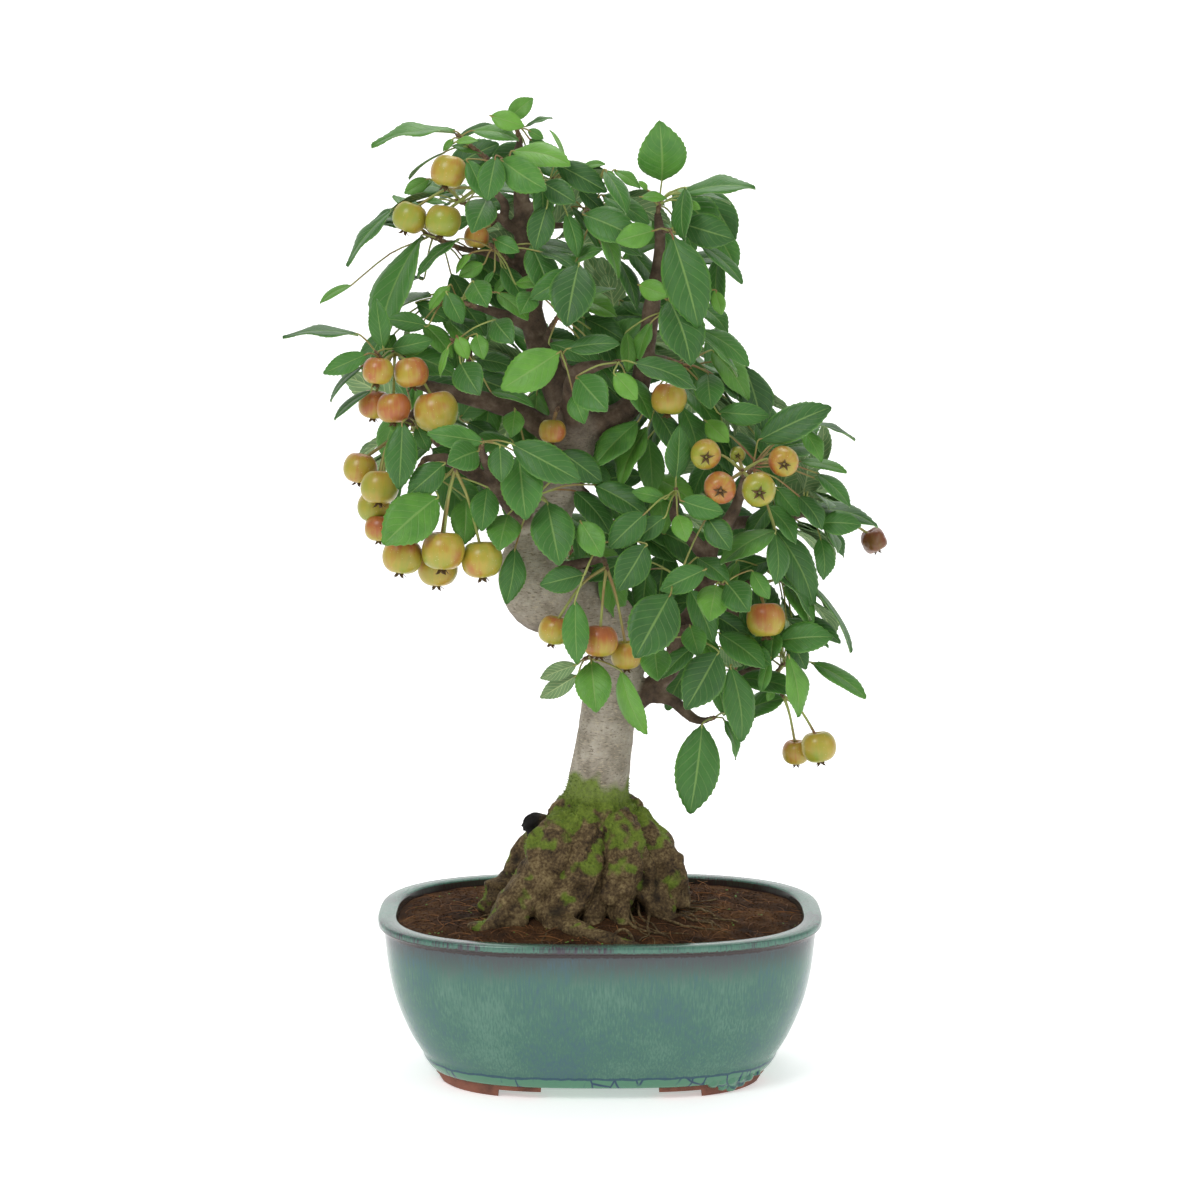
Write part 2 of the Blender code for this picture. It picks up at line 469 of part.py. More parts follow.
def fits(crown, node, leaf):
    reach_y = POT_HALF_DEPTH - 1
    if max(abs(leaf.tip.y), abs(leaf.base.y)) > reach_y:
        return False
    whole = leaf.plate(LEAF_THICKNESS + 2 * LEAF_CLEAR, LEAF_CLEAR)
    blade = leaf.plate(LEAF_THICKNESS, 0, False)
    return crown.is_clear(node, "whole", whole) and crown.is_clear(node, "blade", blade)


# A leaf that the front view doesn't show, grown in a spiral round its shoot
def place_hidden_leaf(crown, node, shoot, foot, number, count, draw, front_limit):
    start, end = shoot[0][0], shoot[-1][0]
    growth = (end - start).normalized()
    along = (number + 1) / (count + 1)
    length = draw.uniform(27, 42)
    petiole = draw.uniform(10, 20)
    width = length * draw.uniform(0.52, 0.62)
    steep = math.radians(78 - 40 * along)
    side = growth.orthogonal().normalized()
    first_turn = GOLDEN_TURN * number + draw.uniform(0, math.tau)
    flat = Vector((end.x, end.y, 0))
    outward = flat.normalized() if flat.length > NEAR_THE_MIDDLE else Vector((0, 1, 0))
    for shrink in (1, 0.8, 0.62):
        for attempt in range(24):
            turn = first_turn + math.radians(15) * ((attempt + 1) // 2) * (1 if attempt % 2 else -1)
            round_shoot = side * math.cos(turn) + growth.cross(side) * math.sin(turn)
            way = growth * math.cos(steep) + round_shoot * math.sin(steep) + outward * 0.35
            way.normalize()
            base = foot + way * petiole * shrink
            tip = base + (way + Vector((0, 0, -0.45))).normalized() * length * shrink
            axis = (tip - base).normalized()
            light = outward * 0.7 + Vector((0, 0, 1))
            face = (light - axis * light.dot(axis)).normalized()
            leaf = Leaf(foot, base, tip, face, width * shrink)
            middle = (base + tip) / 2
            half = axis.cross(face).normalized() * width * shrink / 2
            seen = [seen_at(p) for p in (tip, middle + half, middle - half)]
            if seen_at(middle)[2] < front_limit or not all(inside_crown(x, h) for x, h, _ in seen):
                continue
            if fits(crown, node, leaf):
                return leaf
    return None


# The curve of a twig that leaves the nearest limb and ends flat where a shoot or a fruit stalk goes on
def twig_path(limbs, start, end):
    way = (end - start).normalized()

    def cost(spot):
        point, radius = spot
        return (point - start).length - radius + 0.5 * max(0, point.z - start.z + 4)

    root, _ = min((spot for path in limbs.values() for spot in path), key=cost)
    neck = start - way * 3
    middle = (root + neck) / 2 + Vector((0, 0, 0.06 * (neck - root).length))
    if (neck - root).length < SHORT_TWIG:
        if (neck - root).normalized().dot(way) > 0.95:
            return [(root, 2.4), (start, 1.9)]
        return [(root, 2.4), (neck, 1.9), (start, 1.9)]
    return [(root, 2.6), (middle, 2.1), (neck, 1.9), (start, 1.9)]


def stalk_path(start, end, radius):
    way = (end - start).normalized()
    first = start + way * CLEAR
    return [(first, radius), (end, radius * 0.85)]


def root_path(direction, reach, radius):
    way = Vector((math.cos(math.radians(direction)), math.sin(math.radians(direction)), 0))
    rows = []
    for along, height, share in ROOT_PROFILE:
        rows.append((way * reach * along + Vector((0, 0, height)), radius * share))
    return rows


def pedicel_path(spur, apple_top, eye_way):
    end = apple_top + eye_way * 2
    reach = (end - spur).length
    if reach < LONG_PEDICEL:
        return [(spur, 0.8), (end, 0.8)]
    return [(spur, 0.8), ((spur + end) / 2 + Vector((0, 0, 0.12 * reach)), 0.75), (end, 0.8)]


def apple_facing(spur, row):
    if len(row) > 4:
        return row[4].normalized()
    centre = on_view(*row[:3])
    away = centre - spur
    return (Vector((away.x * 0.3, away.y * 0.3, -abs(away.z) - 12))).normalized()


# Grow the whole tree: limbs, twigs, stalks, apples and leaves
def grow_tree():
    crown = Crown()
    limbs = {name: limb_path(rows, 1) for name, rows in LIMBS.items()}
    for path in limbs.values():
        crown.add("trunk", "wood", tube_shell([(p, r + 0.4) for p, r in path], 8))
    crown.add("trunk", "wood", tube_shell([(p, r + 0.3) for p, r in limb_path(HANGING_TWIG, 1)], 6))
    twigs, shoots = {}, {}
    for name, row in list(BUNCHES.items()) + list(SPRAYS.items()):
        start, end = on_view(*row[0]), on_view(*row[1])
        twigs[name] = twig_path(limbs, start, end)
        crown.add("trunk", "wood", tube_shell([(p, r + 0.3) for p, r in twigs[name]], 6))
        shoots[name] = stalk_path(start, end, 1.4)
        crown.add(name, "shoot", tube_shell(shoots[name], 6))
    apples = {}
    for name, (_, _, rows) in BUNCHES.items():
        spur = shoots[name][-1][0]
        apples[name] = []
        for row in rows:
            eye_way = apple_facing(spur, row)
            foot = foot_on(shoots[name], len(apples[name]), len(rows))
            for shift in (0, 3, -3, 6, -6, 10, -10, 14, -14):
                centre = on_view(row[0], row[1], row[2] + shift)
                top = centre - eye_way * row[3] * 0.42
                stalk = pedicel_path(foot, top, eye_way)
                shells = [tube_shell([(p, r + LEAF_CLEAR) for p, r in stalk], 6),
                          apple_shell(centre, row[3] + 2 * LEAF_CLEAR)]
                if all(crown.is_clear(name, "apple", shell) for shell in shells):
                    break
            else:
                print("an apple of", name, "stands in another piece")
            crown.add(name, "apple", shells[0])
            crown.add(name, "apple", apple_shell(centre, row[3]))
            apples[name].append((centre, row[3], eye_way, stalk))
    leaves = {name: [] for name in SPRAYS}
    for name, (_, _, _, rows) in SPRAYS.items():
        total = len(rows) + SPRAYS[name][2]
        for number, row in enumerate(rows):
            foot = foot_on(shoots[name], number, total)
            keep_leaf(crown, leaves, name, place_seen_leaf(crown, name, foot, row), row)
    draw = random.Random(DRIFT_SEED)
    for name, (_, _, count, rows) in SPRAYS.items():
        front_limit = -2 if rows else 12
        for number in range(count):
            foot = foot_on(shoots[name], len(rows) + number, len(rows) + count)
            leaf = place_hidden_leaf(crown, name, shoots[name], foot, number, count, draw, front_limit)
            keep_leaf(crown, leaves, name, leaf, number)
    return limbs, twigs, shoots, apples, leaves


def keep_leaf(crown, leaves, name, leaf, label):
    if leaf is None:
        print("no room for leaf", label, "of", name)
        return
    leaves[name].append(leaf)
    crown.add(name, "whole", leaf.plate(LEAF_THICKNESS))
    crown.add(name, "blade", leaf.plate(LEAF_THICKNESS, 0, False))


def clear_scene():
    for item in list(bpy.data.objects):
        bpy.data.objects.remove(item, do_unlink=True)


def new_collection(name):
    collection = bpy.data.collections.new(name)
    bpy.context.scene.collection.children.link(collection)
    return collection


def material(name, colour, roughness):
    made = bpy.data.materials.new(name)
    made.use_nodes = True
    shader = made.node_tree.nodes["Principled BSDF"]
    shader.inputs["Base Color"].default_value = (*colour, 1)
    shader.inputs["Roughness"].default_value = roughness
    return made


def add_mesh(name, points, faces, collection):
    mesh = bpy.data.meshes.new(name)
    mesh.from_pydata([tuple(Vector(p) * MM) for p in points], [], faces)
    item = bpy.data.objects.new(name, mesh)
    collection.objects.link(item)
    return item


def add_bmesh(name, bm, collection):
    mesh = bpy.data.meshes.new(name)
    bm.to_mesh(mesh)
    bm.free()
    item = bpy.data.objects.new(name, mesh)
    collection.objects.link(item)
    return item


# A tapering round bar along a path, made as a curve and turned into a closed mesh
def add_tube(name, path, bevel_resolution, collection, grow=0):
    curve = bpy.data.curves.new(name, "CURVE")
    curve.dimensions = "3D"
    curve.bevel_depth = MM
    curve.bevel_resolution = bevel_resolution
    curve.use_fill_caps = True
    spline = curve.splines.new("POLY")
    spline.points.add(len(path) - 1)
    for spot, (point, radius) in zip(spline.points, path):
        spot.co = (*(point * MM), 1)
        spot.radius = radius + grow
    guide = bpy.data.objects.new(name, curve)
    collection.objects.link(guide)
    shaped = guide.evaluated_get(bpy.context.evaluated_depsgraph_get())
    mesh = bpy.data.meshes.new_from_object(shaped)
    bpy.data.objects.remove(guide, do_unlink=True)
    bm = bmesh.new()
    bm.from_mesh(mesh)
    bpy.data.meshes.remove(mesh)
    bmesh.ops.remove_doubles(bm, verts=bm.verts, dist=0.00001)
    bmesh.ops.recalc_face_normals(bm, faces=bm.faces)
    bmesh.ops.triangulate(bm, faces=bm.faces, quad_method="FIXED")
    return add_bmesh(name, bm, collection)


def boolean(item, operation, others, solver="EXACT"):
    modifier = item.modifiers.new("Join", "BOOLEAN")
    modifier.operation = operation
    modifier.operand_type = "COLLECTION"
    modifier.collection = others
    modifier.solver = solver
    shaped = item.evaluated_get(bpy.context.evaluated_depsgraph_get())
    mesh = bpy.data.meshes.new_from_object(shaped)
    item.modifiers.clear()
    item.data = mesh
    for other in list(others.objects):
        bpy.data.objects.remove(other, do_unlink=True)
    bpy.data.collections.remove(others)


# Keep the largest body, where a union leaves a loose scrap beside it
def drop_scraps(item):
    bm = bmesh.new()
    bm.from_mesh(item.data)
    left, bodies = set(bm.verts), []
    while left:
        body, edge = set(), [left.pop()]
        while edge:
            v = edge.pop()
            body.add(v)
            edge += [w for e in v.link_edges for w in e.verts if w in left]
            left.difference_update(edge)
        bodies.append(body)
    bodies.sort(key=len)
    for body in bodies[:-1]:
        if len(body) > 8:
            print("a body of", len(body), "points is dropped from", item.name)
        bmesh.ops.delete(bm, geom=list(body), context="VERTS")
    bm.to_mesh(item.data)
    bm.free()


# Sew up points that a union leaves almost on top of each other, save where that would open the body
def sew(item):
    spared = []
    for attempt in range(SEWING_TRIES):
        bm = bmesh.new()
        bm.from_mesh(item.data)
        bmesh.ops.dissolve_limit(bm, angle_limit=FLAT_ANGLE, verts=bm.verts, edges=bm.edges)
        bmesh.ops.triangulate(bm, faces=bm.faces)
        free = [v for v in bm.verts if all((v.co - spot).length > SPARED_REACH * MM for spot in spared)]
        bmesh.ops.remove_doubles(bm, verts=free, dist=SEWING_REACH * MM)
        bmesh.ops.triangulate(bm, faces=bm.faces)
        faults = [(e.verts[0].co + e.verts[1].co) / 2 for e in bm.edges if len(e.link_faces) != 2]
        if not faults:
            bm.to_mesh(item.data)
        bm.free()
        if not faults:
            return
        spared += faults
    print(item.name, "is left unsewn")


# Whether a body stays closed when its nearest points are taken as one
def is_sound(mesh):
    bm = bmesh.new()
    bm.from_mesh(mesh)
    bmesh.ops.remove_doubles(bm, verts=bm.verts, dist=SOUND_REACH * MM)
    sound = all(len(edge.link_faces) == 2 for edge in bm.edges)
    bm.free()
    return sound


# Take away the slivers of a large body, the flattest first
def thin_out(item, shares):
    modifier = item.modifiers.new("Fewer faces", "DECIMATE")
    for share in shares:
        modifier.ratio = share
        shaped = item.evaluated_get(bpy.context.evaluated_depsgraph_get())
        mesh = bpy.data.meshes.new_from_object(shaped)
        if is_sound(mesh):
            break
        print(item.name, "is not sound at", share)
    item.modifiers.clear()
    item.data = mesh


# Join all the pieces of a node into one closed body
def fuse(name, pieces, solver="EXACT"):
    first = pieces[0]
    first.name = name
    if len(pieces) > 1:
        others = new_collection(name + " pieces")
        for piece in pieces[1:]:
            for home in list(piece.users_collection):
                home.objects.unlink(piece)
            others.objects.link(piece)
        boolean(first, "UNION", others, solver)
        drop_scraps(first)
        if solver == "MANIFOLD":
            sew(first)
            drop_scraps(first)
    return first


def finish(item, finish_material):
    item.data.materials.clear()
    item.data.materials.append(finish_material)
    item.data.shade_smooth()
    item.data.set_sharp_from_angle(angle=math.radians(40))


# The rounded oblong that the pot is at one height
def oblong(inset, height, grow=0):
    half_x = POT_HALF_LENGTH - inset + grow
    half_y = POT_HALF_DEPTH - inset * DEPTH_TAPER + grow
    ring = []
    for i in range(POT_SIDES):
        angle = math.tau * i / POT_SIDES
        c, s = math.cos(angle), math.sin(angle)
        ring.append(Vector((math.copysign(half_x * abs(c) ** (2 / POT_CORNER), c),
                            math.copysign(half_y * abs(s) ** (2 / POT_CORNER), s), height)))
    return ring


# A closed body through rings of points, with a flat face over its first and its last ring
def loft(name, rings, collection):
    sides = len(rings[0])
    points = [p for ring in rings for p in ring]
    faces = [tuple(reversed(range(sides)))]
    for i in range(len(rings) - 1):
        for k in range(sides):
            a, b = i * sides + k, i * sides + (k + 1) % sides
            faces.append((a, b, b + sides, a + sides))
    last = (len(rings) - 1) * sides
    faces.append(tuple(range(last, last + sides)))
    return add_mesh(name, points, faces, collection)


def add_box(name, low, high, collection):
    bm = bmesh.new()
    bmesh.ops.create_cube(bm, size=1)
    size = Vector(high) - Vector(low)
    middle = (Vector(high) + Vector(low)) / 2
    bmesh.ops.scale(bm, vec=size * MM, verts=bm.verts)
    bmesh.ops.translate(bm, vec=middle * MM, verts=bm.verts)
    return add_bmesh(name, bm, collection)


def add_post(name, x, y, low, high, radius, sides, collection):
    bm = bmesh.new()
    bmesh.ops.create_cone(bm, cap_ends=True, segments=sides, radius1=radius * MM, radius2=radius * MM,
                          depth=(high - low) * MM)
    bmesh.ops.translate(bm, vec=Vector((x, y, (low + high) / 2)) * MM, verts=bm.verts)
    return add_bmesh(name, bm, collection)


def drain_places():
    return (("left", -HOLE_SPACING), ("right", HOLE_SPACING))


def build_pot(collection, clay):
    base_z = OUTER_WALL[-1][1]
    shell = loft("pot", [oblong(inset, z) for inset, z in reversed(OUTER_WALL)]
                 + [oblong(inset, z) for inset, z in INNER_WALL], collection)
    feet = loft("feet", [oblong(inset, z) for inset, z in reversed(FOOT_WALL)], collection)
    cuts = new_collection("foot cuts")
    inner = [oblong(FOOT_WALL[0][0] + FOOT_DEPTH, -2), oblong(FOOT_WALL[0][0] + FOOT_DEPTH, base_z + 4)]
    loft("inside the feet", inner, cuts)
    far = 200
    add_box("front gap", (-FOOT_GAP_FRONT, -far, -2), (FOOT_GAP_FRONT, far, base_z - 0.01), cuts)
    add_box("front step", (-FOOT_STEP_FRONT, -far, -2), (FOOT_STEP_FRONT, far, FOOT_STEP_HEIGHT), cuts)
    add_box("side gap", (-far, -FOOT_GAP_SIDE, -2), (far, FOOT_GAP_SIDE, base_z - 0.02), cuts)
    add_box("side step", (-far, -FOOT_STEP_SIDE, -2), (far, FOOT_STEP_SIDE, FOOT_STEP_HEIGHT - 0.5), cuts)
    boolean(feet, "DIFFERENCE", cuts)
    pot = fuse("pot", [shell, feet])
    holes = new_collection("drain holes")
    for side, x in drain_places():
        add_post("hole " + side, x, 0, 0, FLOOR_TOP + 5, HOLE_RADIUS, 16, holes)
    boolean(pot, "DIFFERENCE", holes)
    finish(pot, clay)


def build_screens(collection, plastic):
    low = FLOOR_TOP + CLEAR
    half = SCREEN_SIZE / 2
    high = low + SCREEN_THICKNESS
    for side, x in drain_places():
        screen = add_box("drain_screen_" + side, (x - half, -half, low), (x + half, half, high), collection)
        openings = new_collection("screen openings " + side)
        for across, along in ((-1, -1), (-1, 1), (1, -1), (1, 1)):
            middle_x, middle_y = x + SCREEN_PITCH / 2 * across, SCREEN_PITCH / 2 * along
            reach = SCREEN_OPENING / 2
            add_box("opening", (middle_x - reach, middle_y - reach, low - 2),
                    (middle_x + reach, middle_y + reach, high + 2), openings)
        boolean(screen, "DIFFERENCE", openings)
        finish(screen, plastic)


def root_paths():
    paths = [root_path(*row) for row in ROOTS]
    for rows in (FRONT_ROOT, SIDE_ROOT):
        paths.append([(Vector((x, y, z)), r) for x, y, z, r in rows])
    return paths


def ground_wood(collection, grow):
    base = [(p, r) for p, r in limb_path(LIMBS["trunk"], 1)[:4]]
    base = [(Vector((0, 4, 84)), 36)] + base
    pieces = [add_tube("base", base, 4, collection, grow)]
    pieces += [add_tube("root", path, 1, collection, grow) for path in root_paths()]
    return pieces


def build_soil(collection, earth):
    wall = [(inset + CLEAR + 0.2, z) for inset, z in INNER_WALL if z < SOIL_EDGE_Z]
    rings = [oblong(inset, z) for inset, z in reversed(wall)]
    rings[0] = [Vector((p.x, p.y, FLOOR_TOP + CLEAR)) for p in rings[0]]
    edge = oblong(INNER_WALL[0][0] + CLEAR + 0.4, SOIL_EDGE_Z)
    rings.append(edge)
    for share, rise in ((0.8, 0.35), (0.45, 0.8), (0.12, 1)):
        rings.append([Vector((p.x * share, p.y * share, SOIL_EDGE_Z + SOIL_MOUND * rise)) for p in edge])
    soil = loft("soil", rings, collection)
    room = new_collection("room for the screens")
    half = SCREEN_SIZE / 2 + CLEAR
    for side, x in drain_places():
        high = FLOOR_TOP + SCREEN_THICKNESS + 2 * CLEAR
        add_box("room " + side, (x - half, -half, 0), (x + half, half, high), room)
    boolean(soil, "DIFFERENCE", room)
    pit = new_collection("room for the roots")
    cutter = fuse("root room", ground_wood(collection, ROOT_CLEAR), "MANIFOLD")
    collection.objects.unlink(cutter)
    pit.objects.link(cutter)
    boolean(soil, "DIFFERENCE", pit, "MANIFOLD")
    thin_out(soil, SOIL_SHARES)
    finish(soil, earth)


def build_wood(collection, bark, limbs, twigs):
    pieces = [add_tube("trunk", limbs["trunk"][3:], 4, collection)]
    pieces += ground_wood(collection, 0)
    for name, path in limbs.items():
        if name != "trunk":
            pieces.append(add_tube(name, path, 1, collection))
    pieces.append(add_tube("stub", limb_path(DEAD_STUB, 1), 1, collection))
    pieces.append(add_tube("hanging twig", limb_path(HANGING_TWIG, 1), 0, collection))
    pieces += [add_tube("twig", path, 0, collection) for path in twigs.values()]
    trunk = fuse("trunk", pieces, "MANIFOLD")
    thin_out(trunk, WOOD_SHARES)
    finish(trunk, bark)


# An apple is turned round the line from its stalk to its eye
def add_apple(centre, diameter, eye_way, collection):
    bm = bmesh.new()
    bmesh.ops.create_uvsphere(bm, u_segments=APPLE_SIDES, v_segments=len(APPLE_PROFILE) - 1, radius=1)
    levels = sorted({round(v.co.z, 4) for v in bm.verts})
    for v in bm.verts:
        radius, height = APPLE_PROFILE[levels.index(round(v.co.z, 4))]
        flat = Vector((v.co.x, v.co.y, 0))
        v.co = (flat.normalized() * radius if radius else Vector()) + Vector((0, 0, height))
    bmesh.ops.scale(bm, vec=(diameter * MM,) * 3, verts=bm.verts)
    bm.transform(eye_way.to_track_quat("Z", "Y").to_matrix().to_4x4())
    bmesh.ops.translate(bm, vec=centre * MM, verts=bm.verts)
    return add_bmesh("apple", bm, collection)


def build_bunch(name, stalk, apples, collection, skin):
    pieces = [add_tube("stalk", stalk, 0, collection)]
    for centre, diameter, eye_way, pedicel in apples:
        pieces.append(add_tube("pedicel", pedicel, 0, collection))
        pieces.append(add_apple(centre, diameter, eye_way, collection))
    finish(fuse(name, pieces, "MANIFOLD"), skin)


def build_spray(name, shoot, leaves, collection, leaf_green):
    pieces = [add_tube("shoot", shoot, 0, collection)]
    for leaf in leaves:
        pieces.append(add_mesh("leaf", *leaf.plate(LEAF_THICKNESS), collection))
    finish(fuse(name, pieces, "MANIFOLD"), leaf_green)


def main():
    clear_scene()
    collection = new_collection("Crabapple bonsai")
    build_pot(collection, material("glazed stoneware", (0.11, 0.26, 0.21), 0.2))
    build_screens(collection, material("plastic mesh", (0.03, 0.03, 0.03), 0.5))
    build_soil(collection, material("soil", (0.045, 0.02, 0.01), 0.95))
    limbs, twigs, shoots, apples, leaves = grow_tree()
    build_wood(collection, material("bark", (0.25, 0.21, 0.16), 0.85), limbs, twigs)
    skin = material("apple skin", (0.5, 0.42, 0.06), 0.35)
    for name in BUNCHES:
        build_bunch(name, shoots[name], apples[name], collection, skin)
    leaf_green = material("leaf", (0.05, 0.19, 0.045), 0.45)
    for name in SPRAYS:
        build_spray(name, shoots[name], leaves[name], collection, leaf_green)
    print("leaves", sum(len(group) for group in leaves.values()))


main()
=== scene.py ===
import json
import math
import random

import bmesh
import bpy
from mathutils import Matrix, Vector, noise
from mathutils.bvhtree import BVHTree

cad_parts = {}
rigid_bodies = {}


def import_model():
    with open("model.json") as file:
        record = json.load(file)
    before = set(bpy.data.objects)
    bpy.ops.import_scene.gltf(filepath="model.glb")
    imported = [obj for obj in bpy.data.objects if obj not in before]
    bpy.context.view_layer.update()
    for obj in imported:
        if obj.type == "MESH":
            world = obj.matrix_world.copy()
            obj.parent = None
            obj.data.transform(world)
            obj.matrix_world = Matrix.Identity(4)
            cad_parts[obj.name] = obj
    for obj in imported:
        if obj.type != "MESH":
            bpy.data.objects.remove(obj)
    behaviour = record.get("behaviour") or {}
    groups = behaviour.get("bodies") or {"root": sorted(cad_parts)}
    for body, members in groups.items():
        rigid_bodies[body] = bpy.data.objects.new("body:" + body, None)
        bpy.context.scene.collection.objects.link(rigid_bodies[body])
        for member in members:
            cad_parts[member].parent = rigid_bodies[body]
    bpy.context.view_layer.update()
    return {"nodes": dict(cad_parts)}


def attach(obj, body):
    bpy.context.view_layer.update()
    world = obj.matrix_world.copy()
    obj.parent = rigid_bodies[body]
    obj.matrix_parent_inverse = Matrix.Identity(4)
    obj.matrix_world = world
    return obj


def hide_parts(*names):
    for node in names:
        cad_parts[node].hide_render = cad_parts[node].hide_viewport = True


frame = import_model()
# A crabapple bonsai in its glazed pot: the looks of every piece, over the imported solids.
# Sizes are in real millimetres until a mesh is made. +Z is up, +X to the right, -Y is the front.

mm = 0.001
scene = bpy.context.scene


# sRGB hex to the linear colour that the shaders take
def colour(text):
    parts = [int(text[i:i + 2], 16) / 255 for i in (1, 3, 5)]
    return tuple(c / 12.92 if c <= 0.04045 else ((c + 0.055) / 1.055) ** 2.4 for c in parts) + (1,)


# sockets, nodes (by their result) and plain values into a node's inputs
def wire(node, wires):
    for name, value in wires.items():
        if isinstance(value, bpy.types.Node):
            value = value.outputs[2 if value.bl_idname == "ShaderNodeMix" else 0]
        if isinstance(value, bpy.types.NodeSocket):
            node.id_data.links.new(value, node.inputs[name])
        else:
            node.inputs[name].default_value = value


# one node with its settings and its links; stops are the places and hex colours of a ramp
def addNode(tree, kind, wires={}, stops=(), **settings):
    made = tree.nodes.new(kind if "Node" in kind else "ShaderNode" + kind)
    for name, value in settings.items():
        setattr(made, name, value)
    for i, (place, shade) in enumerate(stops):
        points = made.color_ramp.elements
        point = points[i] if i < len(points) else points.new(place)
        point.position, point.color = place, colour(shade)
    wire(made, wires)
    return made


# a material with its node tree, its shader and the place on the piece in metres
def startFinish(name, roughness, specular=0.5):
    finish = bpy.data.materials.new(name)
    finish.use_nodes = True
    tree = finish.node_tree
    shader = tree.nodes["Principled BSDF"]
    wire(shader, {"Roughness": roughness, "IOR": 1.5, "Specular IOR Level": specular})
    return finish, tree, shader, addNode(tree, "TexCoord").outputs["Object"]


# coats laid one over another, each where its mask is 1
def layCoats(tree, shade, *coats):
    for mask, coat in coats:
        over = colour(coat) if isinstance(coat, str) else coat
        shade = addNode(tree, "Mix", {"Factor": mask, 6: shade, 7: over}, data_type="RGBA")
    return shade


# a finish whose colour drifts between a few shades, with relief of a strength and a depth in millimetres
def driftingFinish(name, roughness, scale, detail, stops, relief=None):
    finish, tree, shader, place = startFinish(name, roughness)
    drift = addNode(tree, "TexNoise", {"Vector": place, "Scale": scale, "Detail": detail})
    wire(shader, {"Base Color": addNode(tree, "ValToRGB", {"Fac": drift}, stops)})
    if relief:
        strength, depth = relief
        wire(shader, {"Normal": addNode(tree, "Bump", {"Height": drift, "Strength": strength,
            "Distance": depth * mm})})
    return finish


def newObject(name, mesh):
    item = bpy.data.objects.new(name, mesh)
    scene.collection.objects.link(item)
    return item


# a mesh piece from points in millimetres, with its finishes and one finish number a face
def meshPiece(name, points, faces, finishes, faceFinish=None, sharpDegrees=45):
    mesh = bpy.data.meshes.new(name)
    mesh.from_pydata([tuple(p * mm) for p in points], [], faces)
    for finish in finishes:
        mesh.materials.append(finish)
    if faceFinish:
        mesh.polygons.foreach_set("material_index", faceFinish)
    mesh.shade_smooth()
    mesh.set_sharp_from_angle(angle=math.radians(sharpDegrees))
    return newObject(name, mesh)


def addAttribute(piece, name, values):
    layer = piece.data.attributes.new(name, "FLOAT", "POINT")
    layer.data.foreach_set("value", values)


# swap a live modifier for its result, as a plain mesh
def applyModifiers(piece):
    graph = bpy.context.evaluated_depsgraph_get()
    mesh = bpy.data.meshes.new_from_object(piece.evaluated_get(graph), preserve_all_data_layers=True,
        depsgraph=graph)
    piece.modifiers.clear()
    piece.data = mesh
    return piece


# give a piece a node tree with the inputs named, and turn the result into a plain mesh
def addTree(piece, tree, values):
    modifier = piece.modifiers.new(tree.name, "NODES")
    modifier.node_group = tree
    for entry in tree.interface.items_tree:
        if entry.item_type == "SOCKET" and entry.in_out == "INPUT" and entry.name in values:
            modifier[entry.identifier] = values[entry.name]


def runTree(piece, tree, values):
    addTree(piece, tree, values)
    return applyModifiers(piece)


def startTree(name, inputs):
    tree = bpy.data.node_groups.new(name, "GeometryNodeTree")
    tree.interface.new_socket("Geometry", in_out="INPUT", socket_type="NodeSocketGeometry")
    tree.interface.new_socket("Geometry", in_out="OUTPUT", socket_type="NodeSocketGeometry")
    for title, kind in inputs:
        tree.interface.new_socket(title, in_out="INPUT", socket_type="NodeSocket" + kind)
    return tree, addNode(tree, "NodeGroupInput").outputs, addNode(tree, "NodeGroupOutput")


def finishPiece(piece, slotName, *nodes):
    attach(piece, "root")
    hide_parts(*nodes)
    return piece


# Camera, light and floor
cameraView = {"lens": 85, "sensor": 36, "distance": 1606, "tiltDegrees": 8, "targetZ": 273,
    "targetHeight": 283.5}
studio = {
    "key": {"from": (-0.9, -1.5, 1.7), "size": 0.9, "watts": 17},
    "fill": {"from": (1.5, -1.1, 0.9), "size": 1.2, "watts": 5},
    "top": {"from": (0.1, 0.5, 1.9), "size": 1.1, "watts": 12},
    "sky": 0.42, "floor": "#ffffff", "floorGlow": 0.42,
}

viewTilt = math.radians(cameraView["tiltDegrees"])
viewUp = Vector((0, math.sin(viewTilt), math.cos(viewTilt)))
viewForward = Vector((0, math.cos(viewTilt), -math.sin(viewTilt)))


